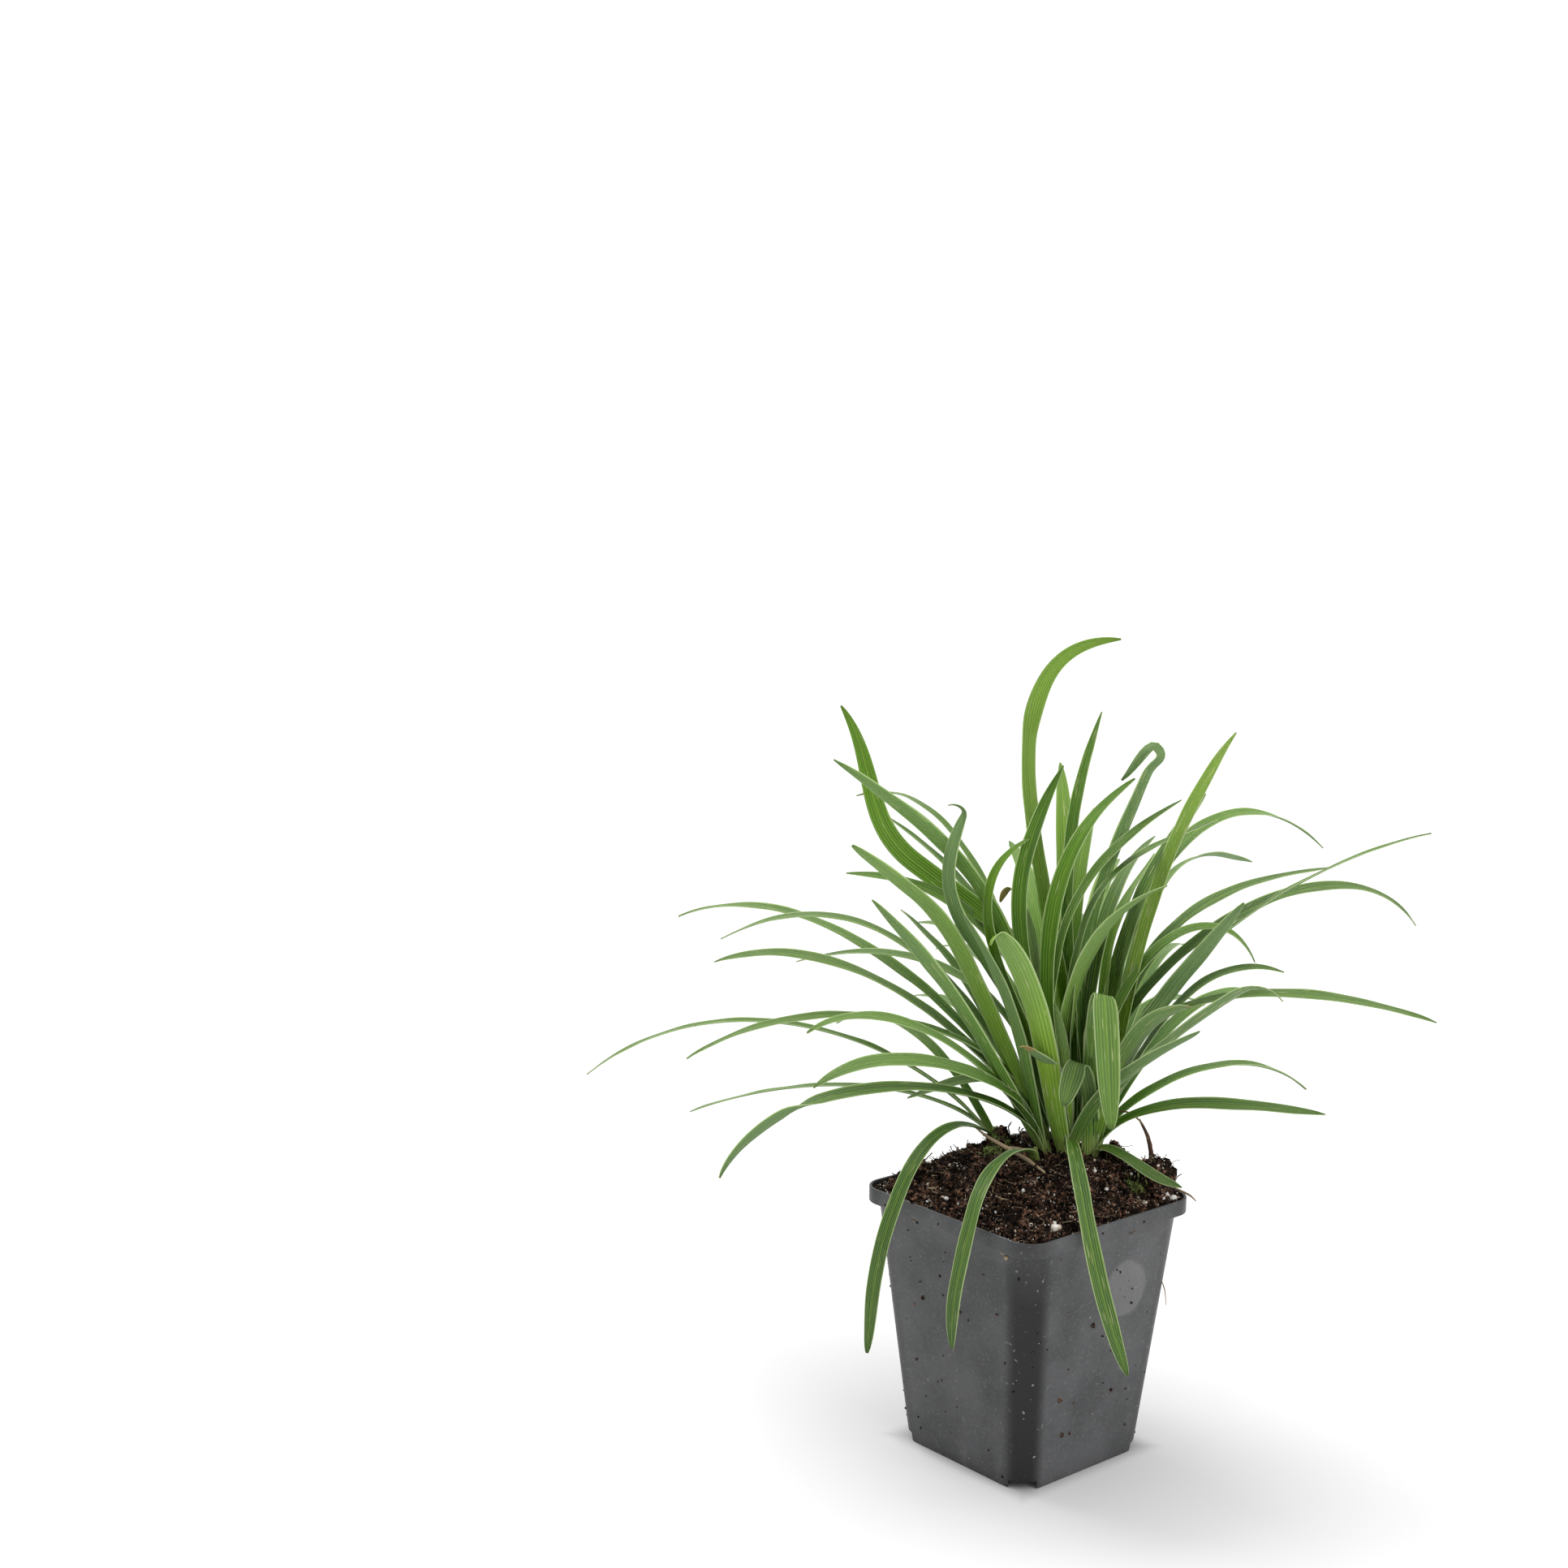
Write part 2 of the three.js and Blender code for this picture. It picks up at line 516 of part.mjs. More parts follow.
function midribPoints(leaf, foot) {
  const stations = [[0, 0, leaf.lean], ...leaf.way];
  const bends = leaf.way.map((to, i) => bend(stations[i], to, i === 0 ? leaf.hold : BEND_HANDLE));
  const total = bends.reduce((sum, { length }) => sum + length, 0);
  const rows = THREE.MathUtils.clamp(Math.round(total / ROW_LENGTH), FEWEST_ROWS, MOST_ROWS);
  const flat = [new THREE.Vector2(0, 0)];
  for (const { curve, length } of bends) {
    const steps = Math.max(2, Math.round(rows * length / total));
    for (let i = 1; i <= steps; i += 1) {
      flat.push(curve.getPoint(i / steps));
    }
  }
  const travelled = [0];
  for (let i = 1; i < flat.length; i += 1) {
    travelled.push(travelled[i - 1] + flat[i].distanceTo(flat[i - 1]));
  }
  const shares = travelled.map((distance) => distance / travelled[flat.length - 1]);
  const turn = THREE.MathUtils.degToRad(leaf.turn);
  const outward = new THREE.Vector3(Math.cos(turn), Math.sin(turn), 0);
  const across = new THREE.Vector3(-Math.sin(turn), Math.cos(turn), 0);
  const points = flat.map((point, i) => new THREE.Vector3(foot[0], foot[1], FOOT_Z + point.y)
    .addScaledVector(outward, ROOT_OFFSET + point.x)
    .addScaledVector(across, (leaf.sway ?? 0) * shares[i] ** 2));
  return { points, shares, across };
}

// A strap leaf: six points a row, folded upwards along the midrib, and both faces of the blade
// are split into triangles the same way.
function makeLeaf(leaf, foot) {
  const { points, shares, across } = midribPoints(leaf, foot);
  const last = points.length - 1;
  const roll = THREE.MathUtils.degToRad(leaf.roll);
  const corners = points.flatMap((point, i) => {
    const ahead = points[Math.min(i + 1, last)].clone();
    const along = ahead.sub(points[Math.max(i - 1, 0)]).normalize();
    const side = across.clone().addScaledVector(along, -across.dot(along)).normalize();
    const face = side.clone().cross(along).negate();
    const half = bladeWidth(shares[i], leaf.width) / 2;
    const fold = FOLD_AT_ROOT + (FOLD_AT_TIP - FOLD_AT_ROOT) * shares[i];
    const sideways = side.clone().multiplyScalar(Math.cos(roll)).addScaledVector(face, Math.sin(roll));
    const upper = face.clone().multiplyScalar(Math.cos(roll)).addScaledVector(side, -Math.sin(roll));
    const corner = (shift, lift) => point.clone()
      .addScaledVector(sideways, shift).addScaledVector(upper, lift);
    const edge = EDGE_THICKNESS / 2;
    return [
      corner(-half, fold * half + edge), corner(0, RIB_THICKNESS / 2),
      corner(half, fold * half + edge), corner(half, fold * half - edge),
      corner(0, -RIB_THICKNESS / 2), corner(-half, fold * half - edge),
    ];
  });
  const faces = [];
  for (let row = 0; row < last; row += 1) {
    for (let i = 0; i < 6; i += 1) {
      const a = row * 6 + i;
      const b = row * 6 + (i + 1) % 6;
      if (i === 3 || i === 4) {
        faces.push([a, a + 6, b], [b, a + 6, b + 6]);
      } else {
        faces.push([a, b + 6, b], [a, a + 6, b + 6]);
      }
    }
  }
  const end = last * 6;
  faces.push([0, 4, 5], [0, 1, 4], [1, 3, 4], [1, 2, 3]);
  faces.push([end, end + 5, end + 4], [end, end + 4, end + 1]);
  faces.push([end + 1, end + 4, end + 3], [end + 1, end + 3, end + 2]);
  return geometryFrom(corners, faces);
}

// The sheath that wraps a shoot's leaf roots, drawn in at the neck.
function makeSheath(foot) {
  const profile = [
    new THREE.Vector2(0, SHEATH_BOTTOM),
    new THREE.Vector2(SHEATH_RADIUS, SHEATH_BOTTOM),
    new THREE.Vector2(SHEATH_RADIUS, SHEATH_TOP - SHEATH_SHOULDER),
    new THREE.Vector2(SHEATH_NECK, SHEATH_TOP),
    new THREE.Vector2(0, SHEATH_TOP),
  ];
  const sheath = new THREE.LatheGeometry(profile, SHEATH_SIDES);
  sheath.rotateX(Math.PI / 2);
  sheath.translate(foot[0], foot[1], 0);
  return sheath;
}

function makeShoot({ foot, leaves }) {
  let shoot = solidFrom(makeSheath(foot));
  for (const leaf of leaves) {
    shoot = shoot.add(solidFrom(makeLeaf(leaf, foot)));
  }
  return outerBody(shoot);
}

function makeDryStalk() {
  const [x, y] = STALK_FOOT;
  const route = new THREE.CatmullRomCurve3([
    new THREE.Vector3(x, y, STALK_BOTTOM),
    new THREE.Vector3(x, y, SOIL_EDGE_Z + 6),
    new THREE.Vector3(x + STALK_LEAN[0], y + STALK_LEAN[1], STALK_TOP),
  ]);
  const outline = new THREE.Shape();
  outline.absarc(0, 0, STALK_RADIUS, 0, 2 * Math.PI, false);
  const settings = { steps: 8, curveSegments: 6, bevelEnabled: false, extrudePath: route };
  return solidFrom(new THREE.ExtrudeGeometry(outline, settings));
}

const liriope = new THREE.Group();
liriope.add(meshOf('pot', makePot(), COLOURS.pot));
liriope.add(meshOf('soil', makeSoil(), COLOURS.soil));
for (const [name, shoot] of Object.entries(SHOOTS)) {
  liriope.add(meshOf(name, makeShoot(shoot), COLOURS.leaf));
}
liriope.add(meshOf('dry_stalk', makeDryStalk(), COLOURS.dryStem));

export default liriope;
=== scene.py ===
"""A young potted liriope: nine shoots of strap leaves in a mound of compost in a square nursery pot.

Every length is in metres, with +Z up and the origin in the middle of the pot's underside.
"""

import math
from collections import namedtuple

import bmesh
import bpy
import numpy as np
from bpy.props import FloatProperty, FloatVectorProperty, IntProperty, PointerProperty
from mathutils import Matrix, Vector, noise


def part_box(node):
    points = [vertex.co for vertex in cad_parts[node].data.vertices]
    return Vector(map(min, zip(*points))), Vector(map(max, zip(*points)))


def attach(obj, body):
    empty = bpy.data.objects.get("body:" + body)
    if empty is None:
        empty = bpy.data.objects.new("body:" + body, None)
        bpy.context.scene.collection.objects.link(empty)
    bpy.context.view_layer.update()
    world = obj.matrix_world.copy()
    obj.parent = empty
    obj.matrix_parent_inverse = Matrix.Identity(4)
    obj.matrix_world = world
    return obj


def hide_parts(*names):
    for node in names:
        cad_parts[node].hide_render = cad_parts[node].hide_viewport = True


bl_info = {
    "name": "Potted liriope",
    "version": (1, 0, 0),
    "blender": (4, 5, 0),
    "location": "3D View > Sidebar > Liriope",
    "description": "Builds a potted liriope round its packed model, with its studio",
    "category": "Object",
}

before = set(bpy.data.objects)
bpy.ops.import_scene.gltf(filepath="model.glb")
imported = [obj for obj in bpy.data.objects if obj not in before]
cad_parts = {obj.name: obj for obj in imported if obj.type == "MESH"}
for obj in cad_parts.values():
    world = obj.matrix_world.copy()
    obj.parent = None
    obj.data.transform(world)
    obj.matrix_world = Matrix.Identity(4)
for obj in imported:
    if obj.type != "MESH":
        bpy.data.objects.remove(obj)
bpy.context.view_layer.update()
BODY = "root"
POT_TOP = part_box("pot")[1]

# The pot, as its solid has it.
POT_HEIGHT = POT_TOP[2]
RIM_HALF = POT_TOP[0]
RIM_CORNER = 0.009
LIP_HEIGHT = 0.006
LIP_STEP = 0.002
BASE_HALF = 0.0332
BODY_CORNER_TOP = 0.012
BODY_CORNER_BASE = 0.010
POT_WALL = 0.001
FLOOR_RAISE = 0.0015
FLOOR_THICKNESS = 0.0012
FOOT_RING = 0.002
PAD_RADIUS = 0.011
FLAT_GAIN = (RIM_HALF - LIP_STEP - BODY_CORNER_TOP) - (BASE_HALF - BODY_CORNER_BASE)
NOTCH_WIDTH = 0.0104
NOTCH_HEIGHT = 0.0033
NOTCH_DEPTH = 0.008
DRAIN_HOLES = 8
DRAIN_RADIUS = 0.003
DRAIN_CIRCLE = 0.020
DRAIN_CUT = (-0.001, 0.006)
PATCH_CENTRE = (0.0406, 0.0115, 0.0709)
# A ring whose corner radius is this much under its half width is as good as round.
ROUND_MARGIN = 0.00001

# The compost: level with the rim at the walls, and mounded round the crown.
SOIL_GAP = 0.0003
SOIL_EDGE_Z = 0.099
SOIL_MOUND = 0.0125
MOUND_CENTRE = (-0.003, 0.021)
MOUND_SHOULDER = 0.55

# The leaves.
FOOT_Z = 0.114
ROOT_OFFSET = 0.0025
ROOT_REACH = 0.0012
ROOT_DEPTH = 0.009
SHEATH_BOTTOM = 0.100
SHEATH_TOP = 0.1165
BEND_HANDLE = 0.4
FOLD_AT_ROOT = 0.45
FOLD_AT_TIP = 0.15
KEEL = 0.2
ROOT_WIDTH = 0.66
FULL_WIDTH_FROM = 0.4
TAPER_FROM = 0.68
TAPER_LENGTH = 0.325
TIP_WIDTH = 0.08
BEND_NARROWING = 0.22
EDGE_THINNING = 0.55
TWIST_SPREAD = 0.12
SHEATH_GIRTH = 0.0034
# Blades from this width up, and blades that hang to below this height, have blunt tips.
BLUNT_FROM = 0.0088
BLUNT_BELOW = 0.080
STALK_FOOT = (0.024, 0.040)

# The angle, in radians, from the camera to the dimmer side of the sky.
DIM_TURN = 0.8


# ---------------------------------------------------------------- node trees


class Tree:
    """A node tree that is written as a list of nodes, each with its settings and its inputs."""

    def __init__(self, tree):
        self.tree = tree

    def node(self, kind, settings=None, inputs=None):
        """Adds a node. Settings are set first, then each input gets a value or a link."""
        node = self.tree.nodes.new(kind)
        for name, value in (settings or {}).items():
            setattr(node, name, value)
        for key, value in (inputs or {}).items():
            socket = self.input_of(node, key)
            source = getattr(value, "socket", value)
            if isinstance(source, bpy.types.NodeSocket):
                self.tree.links.new(source, socket)
            else:
                socket.default_value = source
        return node

    @staticmethod
    def input_of(node, key):
        if isinstance(key, int):
            return node.inputs[key]
        return next(s for s in node.inputs if s.name == key and s.enabled)

    @staticmethod
    def output_of(node, key=None):
        return next(s for s in node.outputs if s.enabled and key in (None, s.name))

    def value(self, kind, settings=None, inputs=None, output=None):
        """A node's number output, ready for arithmetic."""
        return Number(self, self.output_of(self.node(kind, settings, inputs), output))


class Number:
    """A number socket that takes part in arithmetic; each operator adds its Math node."""

    def __init__(self, tree, socket):
        self.tree = tree
        self.socket = socket

    def math(self, operation, *operands):
        inputs = dict(enumerate(operands))
        node = self.tree.node("ShaderNodeMath", {"operation": operation}, inputs)
        return Number(self.tree, node.outputs[0])

    def __add__(self, other):
        return self.math("ADD", self, other)

    def __radd__(self, other):
        return self.math("ADD", other, self)

    def __sub__(self, other):
        return self.math("SUBTRACT", self, other)

    def __rsub__(self, other):
        return self.math("SUBTRACT", other, self)

    def __mul__(self, other):
        return self.math("MULTIPLY", self, other)

    def __rmul__(self, other):
        return self.math("MULTIPLY", other, self)

    def __pow__(self, other):
        return self.math("POWER", self, other)

    def __abs__(self):
        return self.math("ABSOLUTE", self)

    def sine(self):
        return self.math("SINE", self)

    def above(self, limit):
        return self.math("GREATER_THAN", self, limit)

    def below(self, limit):
        return self.math("LESS_THAN", self, limit)

    def at_most(self, limit):
        return self.math("MINIMUM", self, limit)

    def at_least(self, limit):
        return self.math("MAXIMUM", self, limit)

    def between(self, low, high):
        """A smooth step: 0 under low and 1 over high, or the other way round."""
        inputs = {"Value": self, "From Min": low, "From Max": high}
        settings = {"interpolation_type": "SMOOTHSTEP"}
        if low > high:
            inputs.update({"From Min": high, "From Max": low, "To Min": 1.0, "To Max": 0.0})
        return Number(self.tree, self.tree.node("ShaderNodeMapRange", settings, inputs).outputs[0])


class Finish(Tree):
    """A material under construction, with one Principled shader."""

    def __init__(self, name, **constants):
        self.material = bpy.data.materials.new(name)
        self.material.use_nodes = True
        super().__init__(self.material.node_tree)
        self.surface = self.tree.nodes["Principled BSDF"]
        for key, value in constants.items():
            self.surface.inputs[key.replace("_", " ")].default_value = value

    def feed(self, **links):
        for key, value in links.items():
            source = getattr(value, "socket", value)
            self.tree.links.new(source, self.surface.inputs[key.replace("_", " ")])

    def attribute(self, name):
        return self.value("ShaderNodeAttribute", {"attribute_name": name}, output="Fac")

    def place(self):
        """Object coordinates."""
        return self.node("ShaderNodeTexCoord").outputs["Object"]

    def noise(self, vector, scale, detail=2.0, roughness=0.5):
        inputs = {"Vector": vector, "Scale": scale, "Detail": detail, "Roughness": roughness}
        return self.value("ShaderNodeTexNoise", None, inputs)

    def combine(self, x, y, z):
        return self.node("ShaderNodeCombineXYZ", None, {0: x, 1: y, 2: z}).outputs[0]

    def separate(self, vector):
        node = self.node("ShaderNodeSeparateXYZ", None, {0: vector})
        return [Number(self, socket) for socket in node.outputs]

    def mix(self, factor, first, second):
        """Blends two colours, each a colour socket or three numbers."""
        is_socket = bpy.types.NodeSocket
        ends = [c if isinstance(c, is_socket) else (*c, 1.0) for c in (first, second)]
        inputs = {"Factor": factor, "A": ends[0], "B": ends[1]}
        node = self.node("ShaderNodeMix", {"data_type": "RGBA"}, inputs)
        return self.output_of(node, "Result")

    def bump(self, height, distance, strength=1.0):
        inputs = {"Height": height, "Distance": distance, "Strength": strength}
        self.feed(Normal=self.node("ShaderNodeBump", None, inputs).outputs[0])


class Rule(Tree):
    """A Geometry Nodes tree under construction, with named inputs."""

    def __init__(self, name, **inputs):
        group = bpy.data.node_groups.new(name, "GeometryNodeTree")
        super().__init__(group)
        group.interface.new_socket("Geometry", in_out="INPUT", socket_type="NodeSocketGeometry")
        group.interface.new_socket("Geometry", in_out="OUTPUT", socket_type="NodeSocketGeometry")
        self.identifiers = {}
        for key, kind in inputs.items():
            name = key.replace("_", " ")
            socket = group.interface.new_socket(name, in_out="INPUT", socket_type=kind)
            self.identifiers[key] = socket.identifier
        self.given = group.nodes.new("NodeGroupInput")
        self.result = group.nodes.new("NodeGroupOutput")

    def finish(self, geometry):
        """Realizes the instances, sets the material and ends the tree."""
        real = self.node("GeometryNodeRealizeInstances", None, {"Geometry": geometry})
        inputs = {"Geometry": real.outputs[0], "Material": self.given.outputs["Material"]}
        dressed = self.node("GeometryNodeSetMaterial", None, inputs)
        self.tree.links.new(dressed.outputs[0], self.result.inputs[0])

    def run(self, name, source, material, **values):
        """Evaluates the rule on a source object and returns the result as a plain mesh object."""
        carrier = bpy.data.objects.new(name, source.data.copy())
        bpy.context.scene.collection.objects.link(carrier)
        modifier = carrier.modifiers.new("Rule", "NODES")
        modifier.node_group = self.tree
        for key, value in {**values, "Material": material}.items():
            modifier[self.identifiers[key]] = value
        graph = bpy.context.evaluated_depsgraph_get()
        mesh = bpy.data.meshes.new_from_object(carrier.evaluated_get(graph))
        bpy.data.objects.remove(carrier)
        return add_object(name, mesh)


# ---------------------------------------------------------------- mesh helpers


def add_object(name, mesh):
    mesh.name = name
    piece = bpy.data.objects.new(name, mesh)
    bpy.context.scene.collection.objects.link(piece)
    return piece


def mesh_from(name, points, faces, smooth=True):
    mesh = bpy.data.meshes.new(name)
    mesh.from_pydata([tuple(p) for p in points], [], [tuple(f) for f in faces])
    mesh.polygons.foreach_set("use_smooth", [smooth] * len(mesh.polygons))
    mesh.update()
    return mesh


def settle(piece, material, slot, *nodes):
    """Gives a finished piece its material and its body, and hides the nodes that it stands for. The slot is
    not used.
    """
    piece.data.materials.clear()
    piece.data.materials.append(material)
    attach(piece, BODY)
    if nodes:
        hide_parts(*nodes)
    return piece


def baked(piece):
    """Applies a piece's modifiers and returns the plain mesh object that takes its place."""
    graph = bpy.context.evaluated_depsgraph_get()
    mesh = bpy.data.meshes.new_from_object(piece.evaluated_get(graph))
    name = piece.name
    bpy.data.objects.remove(piece)
    return add_object(name, mesh)


def smoothstep(value):
    value = np.clip(value, 0.0, 1.0)
    return value * value * (3.0 - 2.0 * value)


def square_ring(half, corner, z, per_corner, per_side=0):
    """A ring round a square with rounded corners, with more points along its sides if asked."""
    arcs = []
    for quarter in range(4):
        middle = math.pi / 4 + quarter * math.pi / 2
        x = (half - corner) * math.sqrt(2) * math.cos(middle)
        y = (half - corner) * math.sqrt(2) * math.sin(middle)
        angles = middle + np.linspace(-1.0, 1.0, per_corner) * math.pi / 4
        arcs.append(np.stack([x + corner * np.cos(angles), y + corner * np.sin(angles)], axis=1))
    points = []
    for arc, following in zip(arcs, arcs[1:] + arcs[:1]):
        side = np.linspace(arc[-1], following[0], per_side + 2)[1:-1]
        points += [(float(px), float(py), z) for px, py in [*arc, *side]]
    return points


def loft(rings):
    """Joins rings one to the next and closes the first and last with a single face."""
    size = len(rings[0])
    faces = []
    for row in range(len(rings) - 1):
        for step in range(size):
            a = row * size + step
            b = row * size + (step + 1) % size
            faces.append((a, b, b + size, a + size))
    last = (len(rings) - 1) * size
    faces.append(tuple(reversed(range(size))))
    faces.append(tuple(range(last, last + size)))
    return [point for ring in rings for point in ring], faces


# ---------------------------------------------------------------- leaves

# Each leaf grows along its compass heading, turn. lean is the blade's first angle from upright, and
# hold is how long it keeps that angle. roll turns the blade about its midrib. way lists where the
# midrib gets to: its reach and its rise above the foot, and its angle from upright there. sway
# bends the end sideways. twist turns the blade further about its midrib: at which share of the
# length, and by what angle. tone is below 0 for dark green and above 0 for yellow-green; it is
# partly the blade's own green and partly painted shade on blades that hang in the shade and painted
# light on blades that catch the light. bloom is a painted sheen, how grey the blade gets along its
# length where the sky's reflection would lie. wear is how many pale dashes it has, and dry is how
# far its tip has withered.
#
# These numbers weren't all chosen by hand. The lean, hold and way of most leaves are the rounded
# results of a least-squares fit, as are the turn and sway of two that hang, and the roll of most was
# picked by a search. The solids hold the same numbers, but for a few rolls and widths.
Leaf = namedtuple(
    "Leaf",
    "turn lean hold width roll way sway twist tone bloom wear dry",
    defaults=(0.0, None, 0.0, 0.25, 0.3, 0.0),
)
LOOKS = ("tone", "bloom", "wear", "dry")

